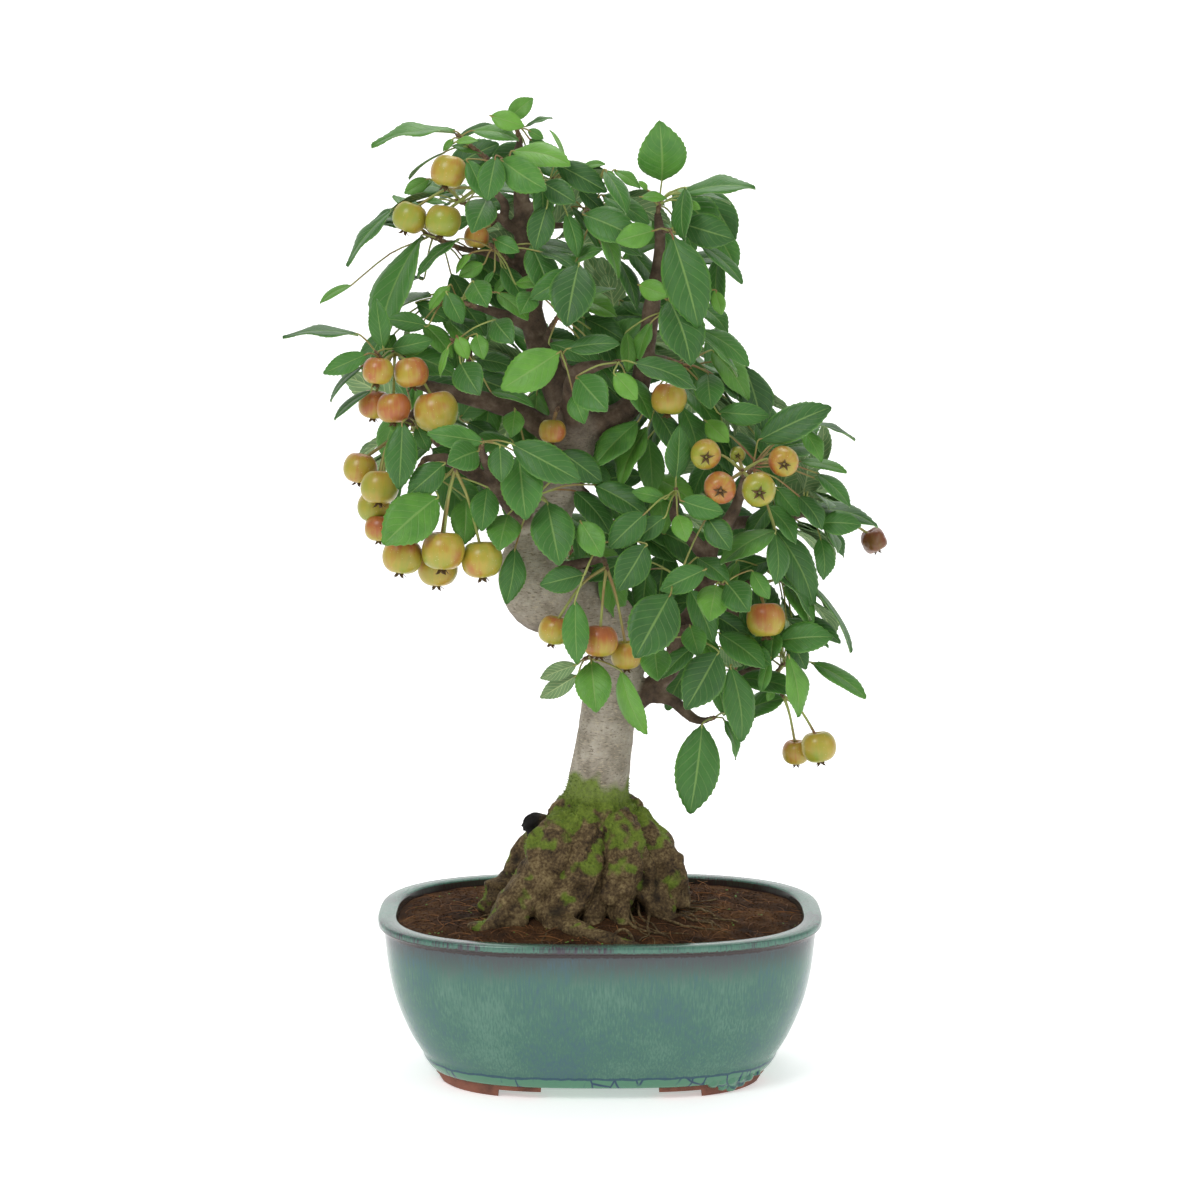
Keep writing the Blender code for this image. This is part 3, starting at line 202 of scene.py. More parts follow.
def makeStudio():
    lens = bpy.data.cameras.new("photoCamera")
    lens.lens, lens.sensor_width = cameraView["lens"], cameraView["sensor"]
    camera = newObject("photoCamera", lens)
    target = Vector((0, 0, cameraView["targetZ"] * mm))
    camera.location = target - viewForward * cameraView["distance"] * mm
    camera.rotation_euler = viewForward.to_track_quat("-Z", "Y").to_euler()
    scene.camera = camera
    for name in ("key", "fill", "top"):
        row = studio[name]
        lamp = bpy.data.lights.new(name + "Light", "AREA")
        lamp.shape, lamp.size, lamp.energy = "DISK", row["size"], row["watts"]
        light = newObject(name + "Light", lamp)
        light.location = row["from"]
        light.rotation_euler = (target - light.location).to_track_quat("-Z", "Y").to_euler()
    world = bpy.data.worlds.new("studioWhite")
    world.use_nodes = True
    wire(world.node_tree.nodes["Background"], {"Color": (1, 1, 1, 1), "Strength": studio["sky"]})
    scene.world = world
    scene.view_settings.view_transform = "Standard"
    paper, tree, shader, place = startFinish("white backdrop paper, matt", 0.9, 0.1)
    wire(shader, {"Base Color": colour(studio["floor"]), "Emission Color": (1, 1, 1, 1),
        "Emission Strength": studio["floorGlow"]})
    rows = [Vector((0, -4000, 0)), Vector((0, 1500, 0))]
    for step in range(1, 9):
        angle = math.radians(90) * step / 8
        rows.append(Vector((0, 1500 + 600 * math.sin(angle), 600 * (1 - math.cos(angle)))))
    rows.append(Vector((0, 2100, 3500)))
    points = [p + Vector((x, 0, 0)) for p in rows for x in (-4000, 4000)]
    faces = [(2 * i, 2 * i + 1, 2 * i + 3, 2 * i + 2) for i in range(len(rows) - 1)]
    meshPiece("backdrop", points, faces, [paper])
    print("studio made")


makeStudio()


# a place on the front view: x from the middle, height above the feet, depth behind the pot's middle
def onView(x, height, depth):
    rise = height - cameraView["targetHeight"]
    away = (depth - rise * viewUp.y) / (viewForward.y + rise * viewUp.y / cameraView["distance"])
    spread = (cameraView["distance"] + away) / cameraView["distance"]
    across = Vector((x, 0, 0)) + viewUp * rise
    return Vector((0, 0, cameraView["targetZ"])) + across * spread + viewForward * away


def seenAt(point):
    offset = point - Vector((0, 0, cameraView["targetZ"]))
    shrink = cameraView["distance"] / (cameraView["distance"] + offset.dot(viewForward))
    return point.x * shrink, offset.dot(viewUp) * shrink + cameraView["targetHeight"], point.y


# a smooth curve through rows of numbers, with that many points on each stretch
def smoothRows(rows, steps):
    points = []
    for i in range(len(rows) - 1):
        before, a = rows[max(i - 1, 0)], rows[i]
        b, after = rows[i + 1], rows[min(i + 2, len(rows) - 1)]
        for step in range(steps):
            t = step / steps
            points.append(tuple(0.5 * (2 * q + (r - p) * t + (2 * p - 5 * q + 4 * r - s) * t ** 2
                + (3 * q - p - 3 * r + s) * t ** 3) for p, q, r, s in zip(before, a, b, after)))
    return points + [tuple(rows[-1])]


def limbPath(rows, steps):
    return [(onView(x, h, d), r) for x, h, d, r in smoothRows(rows, steps)]


def ease(value, low, high):
    share = min(1, max(0, (value - low) / (high - low)))
    return share * share * (3 - 2 * share)


def rowAt(rows, place):
    for (a, valueA), (b, valueB) in zip(rows, rows[1:]):
        if place <= b:
            return valueA + (valueB - valueA) * (place - a) / (b - a)
    return rows[-1][1]


# Stalks and twigs: round bars along paths, made by one node tree
def makeStalkTree():
    tree, given, result = startTree("roundStalk", [("Sides", "Int"), ("Finish", "Material")])
    ring = addNode(tree, "GeometryNodeCurvePrimitiveCircle", {"Resolution": given["Sides"], "Radius": 1.0})
    radius = addNode(tree, "GeometryNodeInputRadius")
    bars = addNode(tree, "GeometryNodeCurveToMesh", {"Curve": given["Geometry"], "Profile Curve": ring,
        "Scale": radius, "Fill Caps": True})
    smooth = addNode(tree, "GeometryNodeSetShadeSmooth", {"Geometry": bars})
    whole = addNode(tree, "GeometryNodeRealizeInstances", {"Geometry": smooth})
    coat = addNode(tree, "GeometryNodeSetMaterial", {"Geometry": whole, "Material": given["Finish"]})
    wire(result, {0: coat})
    return tree


stalkTree = makeStalkTree()


def stalks(name, paths, sides, finish):
    curve = bpy.data.curves.new(name, "CURVE")
    curve.dimensions = "3D"
    for path in paths:
        line = curve.splines.new("POLY")
        line.points.add(len(path) - 1)
        for spot, (point, radius) in zip(line.points, path):
            spot.co = (*(point * mm), 1)
            spot.radius = radius * mm
    guide = newObject(name + "Guide", curve)
    addTree(guide, stalkTree, {"Sides": sides, "Finish": finish})
    shaped = guide.evaluated_get(bpy.context.evaluated_depsgraph_get())
    mesh = bpy.data.meshes.new_from_object(shaped)
    bpy.data.objects.remove(guide)
    return newObject(name, mesh)


def startHome(name):
    home = bpy.data.collections.new(name)
    scene.collection.children.link(home)
    return home


def dropHome(home):
    for item in list(home.objects):
        bpy.data.objects.remove(item)
    bpy.data.collections.remove(home)


def joinInto(piece, others):
    bpy.context.view_layer.objects.active = piece
    with bpy.context.temp_override(active_object=piece, selected_editable_objects=[piece] + others):
        bpy.ops.object.join()
    return piece


# Where everything grows: x, height, depth on the front view
limbs = {"trunk": [(1, 108, 8, 30), (0, 128, 4, 27), (-1, 148, 2, 23), (-2, 170, 0, 18.5), (2, 200, 0,
    16.5), (6, 228, 0, 16), (10, 250, 0, 16), (6, 268, 0, 17), (-10, 281, -2, 19), (-30, 285, -4, 21),
    (-38, 298, -4, 20), (-36, 316, -2, 15.5), (-28, 334, 0, 12.5), (-19, 356, 2, 12), (-14, 380, 4, 11.5),
    (-23, 402, 6, 9.5), (-32, 422, 8, 8), (-39, 446, 10, 6.8), (-42, 470, 10, 5.8), (-44, 498, 8, 5),
    (-45, 524, 4, 4), (-46, 541, 2, 2.8)], "right_main": [(11, 222, -2, 9), (26, 231, -6, 6.5),
    (40, 246, -8, 6), (44, 256, -6, 6), (42, 264, -4, 6), (54, 277, 0, 5.6), (60, 294, 2, 5.4), (62, 311, 2,
    5), (72, 326, 4, 4), (92, 328, 20, 3.4), (110, 331, 36, 2.4)], "right_fork": [(62, 306, 2, 4.6),
    (52, 318, -6, 4), (42, 330, -12, 3), (43, 338, -15, 2.2)], "right_middle": [(66, 318, 3, 4.2),
    (76, 334, -4, 3.6), (80, 346, -10, 2.6)], "right_low": [(57, 284, 0, 4.6), (70, 284, 10, 4),
    (84, 262, 14, 3.4), (88, 244, 12, 3), (97, 238, 10, 2.2)], "front_low": [(24, 230, -6, 4.6),
    (40, 227, -12, 3.6), (52, 217, -16, 3), (58, 215, -18, 2.4)], "right_apex": [(-10, 380, 4, 8.5),
    (6, 386, 6, 7.5), (20, 397, 8, 6.4), (25, 420, 8, 5.4), (29, 448, 6, 4.8), (33, 472, 2, 4), (34, 490, 0,
    3.2), (33, 500, 0, 2.4)], "left_low": [(-34, 318, -4, 9), (-50, 338, -14, 6), (-66, 352, -26, 4.6),
    (-84, 362, -34, 3.6), (-96, 364, -34, 2.6)], "left_front": [(-56, 343, -18, 4.6), (-62, 356, -32, 3.4),
    (-66, 365, -42, 2.4)], "left_middle": [(-20, 372, 2, 8), (-46, 390, 2, 6), (-76, 399, -4, 4.8),
    (-96, 404, -12, 3.8), (-110, 409, -20, 2.8)], "left_spur": [(-90, 402, -9, 3.6), (-104, 390, -6, 3),
    (-114, 378, -4, 2.2)], "left_high": [(-38, 440, 8, 5), (-52, 444, 2, 3.6), (-66, 449, -4, 2.6)],
    "front_spur": [(-14, 380, -2, 6), (-17, 400, -14, 4.6), (-13, 412, -24, 4.8), (-3, 416, -29, 3.6),
    (3, 417, -30, 2.6)], "centre_spur": [(-24, 300, -14, 5), (-11, 304, -24, 3), (-2, 306, -30, 2.2)],
    "upper_left": [(-44, 492, 8, 3.6), (-54, 498, 2, 3), (-54, 508, -2, 2.6), (-60, 515, -2, 2)],
    "back_low": [(-20, 290, 8, 8), (-4, 308, 34, 5.6), (10, 324, 52, 4), (24, 334, 60, 2.6)],
    "back_left": [(-30, 322, 6, 8), (-52, 346, 30, 5.4), (-74, 362, 46, 4), (-92, 372, 54, 2.6)],
    "back_middle": [(-18, 376, 8, 7), (-12, 394, 34, 5), (-4, 408, 52, 3.6), (4, 418, 60, 2.4)],
    "back_right": [(60, 294, 4, 4.8), (68, 302, 28, 4), (80, 314, 46, 3), (90, 322, 54, 2.2)],
    "back_upper": [(-38, 440, 12, 5), (-36, 454, 30, 3.6), (-36, 464, 42, 2.4)],}
deadStub = [(-24, 150, -6, 7), (-34, 155, -8, 5), (-43, 156, -8, 3.4)]
hangingTwig = [(-16, 352, -2, 2), (-4, 341, -8, 1.5), (7, 329, -14, 1)]

# Surface roots: direction in degrees (front is 270), reach, radius at the trunk
roots = [(212, 80, 13), (236, 52, 14), (262, 38, 12), (292, 42, 11), (330, 50, 12), (33, 62, 13),
    (76, 50, 12), (122, 54, 12), (170, 52, 13)]
rootStartZ = 150
frontRoot = [(-34, -20, 102, 7), (-26, -36, 97, 6.4), (-12, -52, 93, 5.6), (6, -64, 91, 4.6), (22, -68, 88,
    3)]
sideRoot = [(-74, -36, 91, 3.4), (-60, -38, 94, 4), (-42, -36, 94, 4)]

facingFront = Vector((0, -1, -0.15))
bunches = {"fruit_upper_left": ((-66, 517, -4), (-70, 517, -6), [(-86, 526, -16, 20), (-108, 500, -8, 19),
    (-89, 498, -14, 20)]), "fruit_left": ((-114, 424, -22), (-117, 424, -26), [(-126, 413, -34, 17),
    (-107, 412, -36, 19), (-117, 392, -38, 19), (-128, 394, -24, 18), (-93, 390, -34, 25)]),
    "fruit_left_end": ((-118, 375, -4), (-120, 373, -7), [(-136, 358, -8, 19), (-125, 347, -26, 21),
    (-128, 336, -8, 19), (-125, 324, -14, 17)]), "fruit_left_low": ((-82, 360, -40), (-82, 357, -43),
    [(-112, 308, -50, 22), (-89, 311, -56, 24), (-92, 301, -36, 22), (-67, 306, -48, 23)]),
    "fruit_centre_right": ((46, 412, -6), (46, 409, -8), [(39, 397, -18, 20)]), "fruit_right": ((81, 355,
    -16), (81, 357, -19), [(60, 366, -34, 17, facingFront), (68, 347, -38, 18, facingFront), (90, 346, -38,
    19, facingFront), (104, 362, -32, 17, facingFront), (78, 366, -8, 9, facingFront)]),
    "fruit_right_end": ((117, 331, 44), (119, 330, 46), [(155, 317, 60, 15)]), "fruit_right_low": ((88, 292,
    -2), (90, 290, -4), [(94, 272, -16, 22)]), "fruit_centre": ((3, 304, -34), (4, 301, -36),
    [(-26, 266, -40, 18), (0, 260, -44, 20), (15, 252, -32, 18)]), "fruit_bottom_right": ((103, 231, 4),
    (104, 229, 2), [(111, 197, 8, 16), (124, 200, -4, 20)]), "fruit_upper_inner": ((-60, 498, 6), (-62, 496,
    4), [(-70, 489, 0, 14)]), "fruit_inner": ((-24, 392, -12), (-25, 390, -14), [(-27, 379, -18, 15)]),}

underside = "shows its underside"
sprays = {
    "spray_apex": ((-46, 546, 2), (-48, 554, 0), 0, [
        (-52, 556, -38, 568, 11, -4), (-62, 558, -43, 552, 11, -14), (-40, 545, -29, 534, 9, -2)]),
    "spray_top_left": ((-66, 535, 0), (-81, 547, -5), 1, [
        (-82, 549, -130, 543, 9, -6), (-80, 546, -61, 553, 5, 6), (-84, 541, -67, 537, 6, 0)]),
    "spray_crown_front": ((-50, 524, -10), (-53, 532, -18), 0, [
        (-75, 533, -65, 511, 11, -24), (-59, 535, -64, 510, 15, -34), (-56, 533, -31, 516, 19, -30)]),
    "spray_crown_right": ((-33, 513, 0), (-27, 522, -4), 1, [
        (-32, 520, -14, 509, 14, -16), (-25, 531, 4, 515, 15, -10), (-30, 507, -37, 482, 15, -22),
        (-19, 503, -12, 478, 10, -14)]),
    "spray_upper_left": ((-70, 506, 8), (-82, 510, 12), 1, [
        (-97, 522, -111, 514, 9, 6), (-64, 511, -72, 493, 18, -12)]),
    "spray_far_left_up": ((-82, 484, 8), (-99, 491, 4), 1, [
        (-101, 490, -127, 425, 18, 0), (-117, 505, -144, 473, 10, 4), (-114, 506, -133, 492, 6, 12),
        (-100, 466, -121, 462, 5, 10), (-141, 462, -159, 452, 6, 12)]),
    "spray_upper_inner": ((-54, 478, 0), (-62, 485, -6), 1, [
        (-80, 488, -104, 467, 11, -14), (-60, 488, -46, 481, 10, -16), (-66, 474, -80, 467, 9, -4)]),
    "spray_left_high": ((-72, 450, -6), (-88, 456, -8), 1, [
        (-72, 464, -64, 450, 15, -18), (-85, 462, -97, 448, 7, -14), (-87, 458, -78, 440, 12, -20),
        (-104, 452, -86, 442, 11, 0), (-98, 439, -121, 443, 11, -20)]),
    "spray_far_left": ((-122, 417, -30), (-127, 424, -36), 0, [
        (-137, 434, -180, 433, 8, -46), (-132, 423, -157, 412, 11, -46), (-135, 416, -154, 397, 6, -44),
        (-130, 402, -151, 386, 6, -46), (-123, 426, -127, 454, 12, -38), (-118, 426, -95, 431, 12, -30)]),
    "spray_left_shoulder": ((-76, 426, -16), (-84, 431, -22), 1, [
        (-70, 434, -66, 420, 10, -30), (-79, 418, -69, 401, 18, -38), (-60, 442, -50, 430, 15, -26)]),
    "spray_centre_high": ((-28, 438, -8), (-20, 450, -16), 1, [
        (-12, 474, -19, 439, 25, -34), (-13, 470, -40, 454, 14, -24), (-4, 500, 11, 466, 10, -10)]),
    "spray_front_spur": ((8, 418, -32), (11, 419, -36), 0, [
        (19, 418, 55, 404, 14, -44), (-13, 410, 4, 391, 20, -50), (8, 412, 21, 397, 12, -44)]),
    "spray_front_left": ((-20, 418, -28), (-22, 424, -34), 0, [
        (-23, 424, -56, 403, 22, -46), (-18, 426, 11, 429, 11, -40), (-15, 400, -9, 384, 12, -34)]),
    "spray_left_hanging": ((-102, 386, -12), (-106, 383, -18), 0, [
        (-112, 384, -114, 346, 18, -44), (-104, 382, -97, 368, 9, -26), (-120, 385, -107, 376, 8, -20)]),
    "spray_left_front": ((-67, 370, -46), (-67, 374, -50), 0, [
        (-66, 373, -98, 378, 13, -60), (-69, 368, -86, 361, 18, -66), (-57, 371, -56, 351, 14, -62),
        (-50, 372, -11, 351, 20, -58), (-46, 366, -42, 329, 23, -50)]),
    "spray_left_low": ((-101, 361, -34), (-104, 356, -36), 0, [
        (-88, 361, -109, 343, 16, -50), (-92, 342, -123, 315, 27, -38), (-76, 341, -77, 315, 17, -34),
        (-64, 347, -67, 323, 16, -44)]),
    "spray_elbow": ((-36, 341, -22), (-37, 345, -28), 0, [
        (-52, 332, -57, 313, 19, -34), (-30, 339, -23, 304, 24, -42), (-48, 313, -53, 281, 15, -40),
        (-48, 391, -50, 376, 12, -20)]),
    "spray_centre": ((-1, 312, -36), (-1, 316, -40), 0, [
        (-9, 298, -34, 292, 15, -44), (-11, 328, 1, 308, 15, -46), (-14, 283, -13, 247, 15, -56),
        (26, 315, 10, 289, 19, -46)]),
    "spray_centre_low": ((-4, 252, -26), (-9, 250, -32), 0, [
        (-5, 249, -2, 220, 20, -44), (12, 243, 26, 207, 17, -34), (-13, 247, -34, 239, 10, -36, underside),
        (-13, 241, -34, 228, 11, -34, underside)]),
    "spray_right_upper": ((43, 343, -18), (43, 347, -21), 0, [
        (26, 333, 5, 313, 17, -38), (37, 331, 20, 317, 12, -34), (37, 341, 18, 345, 9, -28),
        (46, 340, 70, 333, 14, -38), (44, 332, 49, 317, 12, -32), (43, 352, 45, 382, 16, -26)]),
    "spray_right_centre": ((48, 300, -20), (42, 294, -28), 0, [
        (61, 330, 74, 312, 15, -36), (60, 301, 34, 289, 15, -50), (40, 287, 20, 251, 28, -64)]),
    "spray_right_centre_low": ((52, 266, -20), (55, 260, -26), 0, [
        (31, 257, 33, 238, 17, -48), (51, 269, 56, 252, 14, -34), (67, 254, 49, 222, 24, -46)]),
    "spray_right_low": ((74, 240, -10), (78, 248, -14), 0, [
        (74, 246, 81, 203, 17, -30), (68, 257, 81, 246, 11, -22, underside), (84, 256, 97, 247, 11, -10)]),
    "spray_hanging": ((62, 216, -22), (65, 217, -26), 0, [
        (58, 213, 51, 162, 25, -34), (70, 216, 78, 193, 6, -26)]),
    "spray_right_top": ((33, 504, 0), (34, 511, -2), 0, [
        (35, 521, 34, 553, 27, -8), (47, 514, 88, 518, 12, -6)]),
    "spray_right_top_front": ((37, 493, -6), (40, 493, -12), 0, [
        (41, 490, 56, 438, 26, -30), (31, 493, 9, 487, 14, -22), (46, 497, 76, 488, 19, -14),
        (57, 485, 81, 463, 8, -8)]),
    "spray_right_shoulder": ((36, 447, 0), (44, 450, -8), 1, [
        (39, 454, 52, 417, 26, -34), (65, 459, 69, 445, 8, -10), (57, 437, 85, 417, 12, -6),
        (52, 436, 79, 411, 6, -12), (22, 462, 39, 456, 12, -12)]),
    "spray_right_inner": ((38, 420, 4), (50, 416, 0), 1, [
        (63, 412, 79, 397, 8, 0), (61, 412, 63, 392, 17, -10), (67, 390, 96, 388, 13, -12)]),
    "spray_upper_right": ((-8, 498, 8), (-5, 506, 6), 1, [
        (-12, 517, 3, 503, 9, -2), (1, 513, 28, 497, 12, -8), (8, 527, 23, 517, 7, 8),
        (-16, 506, 0, 482, 6, 8)]),
    "spray_right_middle": ((84, 355, -10), (89, 362, -14), 0, [
        (90, 374, 131, 393, 20, -22), (115, 384, 145, 375, 4, -10), (113, 362, 140, 356, 6, -6),
        (60, 385, 73, 373, 12, -2)]),
    "spray_right_far": ((112, 336, 34), (117, 340, 30), 1, [
        (113, 335, 158, 328, 9, 18), (126, 327, 139, 308, 8, 24), (98, 325, 122, 281, 18, 2),
        (100, 347, 113, 331, 13, 6)]),
    "spray_right_far_low": ((96, 300, 18), (106, 292, 14), 1, [
        (96, 303, 121, 273, 12, -6), (120, 292, 143, 254, 9, 4), (106, 273, 130, 257, 8, 4),
        (109, 274, 137, 260, 8, 12)]),
    "spray_right_bottom": ((100, 242, 10), (106, 250, 6), 0, [
        (120, 248, 151, 228, 9, 4), (107, 263, 117, 244, 12, -2), (99, 266, 97, 249, 12, -8),
        (107, 252, 113, 217, 13, -16), (96, 250, 91, 231, 8, -16)]),
    "spray_right_front": ((66, 294, -18), (70, 293, -24), 0, [
        (66, 292, 62, 272, 18, -34), (72, 293, 84, 277, 18, -38), (86, 300, 96, 284, 10, -20)]),
    "spray_back_low": ((28, 338, 64), (36, 342, 68), 7, []),
    "spray_back_low_left": ((-12, 312, 40), (-22, 312, 52), 6, []),
    "spray_back_left": ((-97, 375, 57), (-106, 380, 60), 7, []),
    "spray_back_left_inner": ((-66, 366, 50), (-64, 378, 62), 6, []),
    "spray_back_middle": ((8, 422, 63), (12, 430, 66), 7, []),
    "spray_back_middle_left": ((-24, 404, 46), (-38, 410, 58), 7, []),
    "spray_back_right": ((94, 325, 57), (102, 330, 60), 7, []),
    "spray_back_right_inner": ((54, 400, 34), (62, 404, 46), 7, []),
    "spray_back_upper": ((-36, 469, 46), (-36, 478, 50), 7, []),
}
crownEdge = [(-62, 550), (-40, 556), (-26, 536), (0, 530), (20, 518), (40, 524), (76, 510), (78, 470),
        (72, 448), (82, 420), (80, 400), (104, 400), (128, 388), (132, 356), (150, 328), (128, 296),
        (138, 264), (120, 246), (118, 222), (98, 226), (88, 206), (74, 216), (48, 222), (28, 216),
        (8, 236), (-6, 246), (-20, 262), (-20, 302), (-46, 310), (-62, 322), (-100, 318), (-124, 326),
        (-124, 342), (-142, 360), (-122, 384), (-150, 400), (-156, 418), (-150, 436), (-122, 446),
        (-100, 456), (-72, 470), (-58, 486), (-78, 490), (-104, 494), (-136, 484), (-132, 500),
        (-110, 522), (-90, 538)]
# Holes in the crown that show the light behind: x, height, radius
lightGaps = [(-30, 447, 6), (-10, 340, 9), (-42, 318, 6), (2, 294, 7), (58, 264, 8), (-68, 392, 5),
        (-98, 368, 6), (40, 372, 6), (-48, 500, 7), (-14, 492, 7), (20, 474, 6), (66, 386, 5),
        (-50, 470, 6), (112, 322, 5), (100, 285, 5), (-98, 478, 8)]


# How the tree grows: the leaves and apples stand where the part's own growth puts them
growth = {
    "clear": 0.35, "leafClear": 0.5, "leafThickness": 0.7, "petioleWidth": 1.5, "bladeRatio": 0.6,
    "largeBlade": 38, "largeRows": [(0.22, 0.84), (0.52, 1.0), (0.8, 0.62)],
    "smallRows": [(0.32, 0.96), (0.7, 0.78)],
    "arch": 0.07, "fold": 0.22, "wave": 0.1, "seed": 7, "turn": math.radians(137.5), "shortTwig": 12,
    "longPedicel": 24, "reachY": 87,
    # leaves that the front view doesn't show
    "hiddenLength": (27, 42), "hiddenPetiole": (10, 20), "hiddenRatio": (0.52, 0.62), "steepest": 78,
    "flattening": 40, "shrinks": (1, 0.8, 0.62), "tries": 24, "tryTurn": 15, "outward": 0.35, "droop": 0.45,
    # how far a leaf or an apple may move in depth until it is clear
    "leafShifts": (0, -3, 3, -6, 6, -9, 9, -12, 12, -16, 16, -20, 20, -24, 24),
    "leanChanges": (0, 6, -6, 12, -12), "faceTurns": (0, 0.35, -0.35, 0.7),
    "appleShifts": (0, 3, -3, 6, -6, 10, -10, 14, -14),
}


def insideCrown(x, height):
    for gapX, gapHeight, radius in lightGaps:
        if math.hypot(x - gapX, height - gapHeight) < radius:
            return False
    inside = False
    for (x1, h1), (x2, h2) in zip(crownEdge, crownEdge[1:] + crownEdge[:1]):
        if (h1 > height) != (h2 > height) and x < (x2 - x1) * (height - h1) / (h2 - h1) + x1:
            inside = not inside
    return inside


def tubeShell(path, sides):
    points, faces = [], []
    for i, (centre, radius) in enumerate(path):
        ahead = path[min(i + 1, len(path) - 1)][0] - path[max(i - 1, 0)][0]
        turn = ahead.to_track_quat("Z", "Y")
        for k in range(sides):
            angle = math.tau * k / sides
            points.append(centre + turn @ Vector((math.cos(angle), math.sin(angle), 0)) * radius)
    for i in range(len(path) - 1):
        for k in range(sides):
            a, b = i * sides + k, i * sides + (k + 1) % sides
            faces += [(a, b, b + sides), (a, b + sides, a + sides)]
    return points, faces


def appleShell(centre, diameter):
    bm = bmesh.new()
    bmesh.ops.create_icosphere(bm, subdivisions=2, radius=diameter / 2)
    points = [centre + v.co for v in bm.verts]
    faces = [tuple(v.index for v in f.verts) for f in bm.faces]
    bm.free()
    return points, faces


# what stands in the crown so far, and to which node it belongs
class Crown:
    def __init__(self):
        self.pieces = []

    def reach(self, points):
        return [min(p[i] for p in points) for i in range(3)], [max(p[i] for p in points) for i in range(3)]

    def add(self, node, kind, shell):
        points, faces = shell
        low, high = self.reach(points)
        self.pieces.append((node, kind, low, high, BVHTree.FromPolygons(points, faces)))

    def isClear(self, node, kind, shell):
        points, faces = shell
        low, high = self.reach(points)
        tree = None
        for other, otherKind, otherLow, otherHigh, otherTree in self.pieces:
            if other == node and (kind, otherKind) != ("blade", "blade"):
                continue
            if any(low[i] > otherHigh[i] or high[i] < otherLow[i] for i in range(3)):
                continue
            tree = tree or BVHTree.FromPolygons(points, faces)
            if tree.overlap(otherTree):
                return False
        return True


class Leaf:
    def __init__(self, foot, base, tip, face, width):
        self.foot, self.base, self.tip, self.face, self.width = foot, base, tip, face, width

    def petioleFoot(self, half):
        way = (self.base - self.foot).normalized()
        axis = (self.tip - self.base).normalized()
        side = axis.cross(self.face)
        across = side - way * side.dot(way)
        if across.length < 0.4:
            across = axis - way * axis.dot(way)
        across.normalize()
        return self.foot - across * half, self.foot + across * half, across.cross(way)

    # the coarse blade and petiole as an open surface, as the part has them
    def surface(self, grow=0, withPetiole=True):
        axis = self.tip - self.base
        length = axis.length
        side = axis.cross(self.face).normalized()
        rows = growth["largeRows"] if length >= growth["largeBlade"] else growth["smallRows"]
        end = axis.normalized() * grow
        halfPetiole = growth["petioleWidth"] / 2 + grow
        points = list(self.petioleFoot(halfPetiole)[:2]) if withPetiole else []
        points += [self.base - end - side * halfPetiole, self.base - end + side * halfPetiole]
        faces = [(0, 1, 3), (0, 3, 2)] if withPetiole else []
        last = len(points)
        for i, (along, share) in enumerate(rows):
            rise = self.face * (growth["arch"] * length * 4 * along * (1 - along))
            middle = self.base + axis * along + rise
            half = self.width / 2 * share + grow
            wave = growth["wave"] * half * (1 if i % 2 else -1)
            points.append(middle - side * half + self.face * (growth["fold"] * half + wave))
            points.append(middle)
            points.append(middle + side * half + self.face * (growth["fold"] * half - wave))
            n = last + 3 * i
            if i == 0:
                faces += [(n - 2, n - 1, n + 1), (n - 2, n + 1, n), (n - 1, n + 2, n + 1)]
            else:
                faces += [(n - 3, n - 2, n + 1), (n - 3, n + 1, n), (n - 2, n - 1, n + 2), (n - 2, n + 2,
                    n + 1)]
        n = len(points)
        points.append(self.tip + end)
        faces += [(n - 3, n - 2, n), (n - 2, n - 1, n)]
        return points, faces

    def plate(self, thickness, grow=0, withPetiole=True):
        points, faces = self.surface(grow, withPetiole)
        count = len(points)
        lifts = [self.face * thickness / 2] * count
        if withPetiole:
            lifts[0] = lifts[1] = self.petioleFoot(0)[2] * thickness / 2
        platePoints = [p + q for p, q in zip(points, lifts)] + [p - q for p, q in zip(points, lifts)]
        edges = set()
        for face in faces:
            edges.update(zip(face, face[1:] + face[:1]))
        rim = [(a, b) for a, b in edges if (b, a) not in edges]
        plateFaces = list(faces) + [tuple(i + count for i in reversed(f)) for f in faces]
        plateFaces += [(b, a, a + count, b + count) for a, b in rim]
        return platePoints, plateFaces


def faceToViewer(axis, seenWidth, trueWidth, showsUnderside):
    toward = -viewForward
    face = (toward - axis * toward.dot(axis)).normalized()
    across = axis.cross(face).normalized()
    if across.z < 0:
        across = -across
    roll = math.acos(min(1, seenWidth / trueWidth))
    face = face * math.cos(roll) + across * math.sin(roll)
    return -face if showsUnderside else face


def footOn(shoot, number, count):
    start, end = shoot[0][0], shoot[-1][0]
    return start + (end - start) * (0.3 + 0.68 * (number + 1) / count)


def fits(crown, node, leaf, clear):
    if max(abs(leaf.tip.y), abs(leaf.base.y)) > growth["reachY"]:
        return False
    whole = leaf.plate(growth["leafThickness"] + 2 * clear, clear)
    blade = leaf.plate(growth["leafThickness"], 0, False)
    return crown.isClear(node, "whole", whole) and crown.isClear(node, "blade", blade)


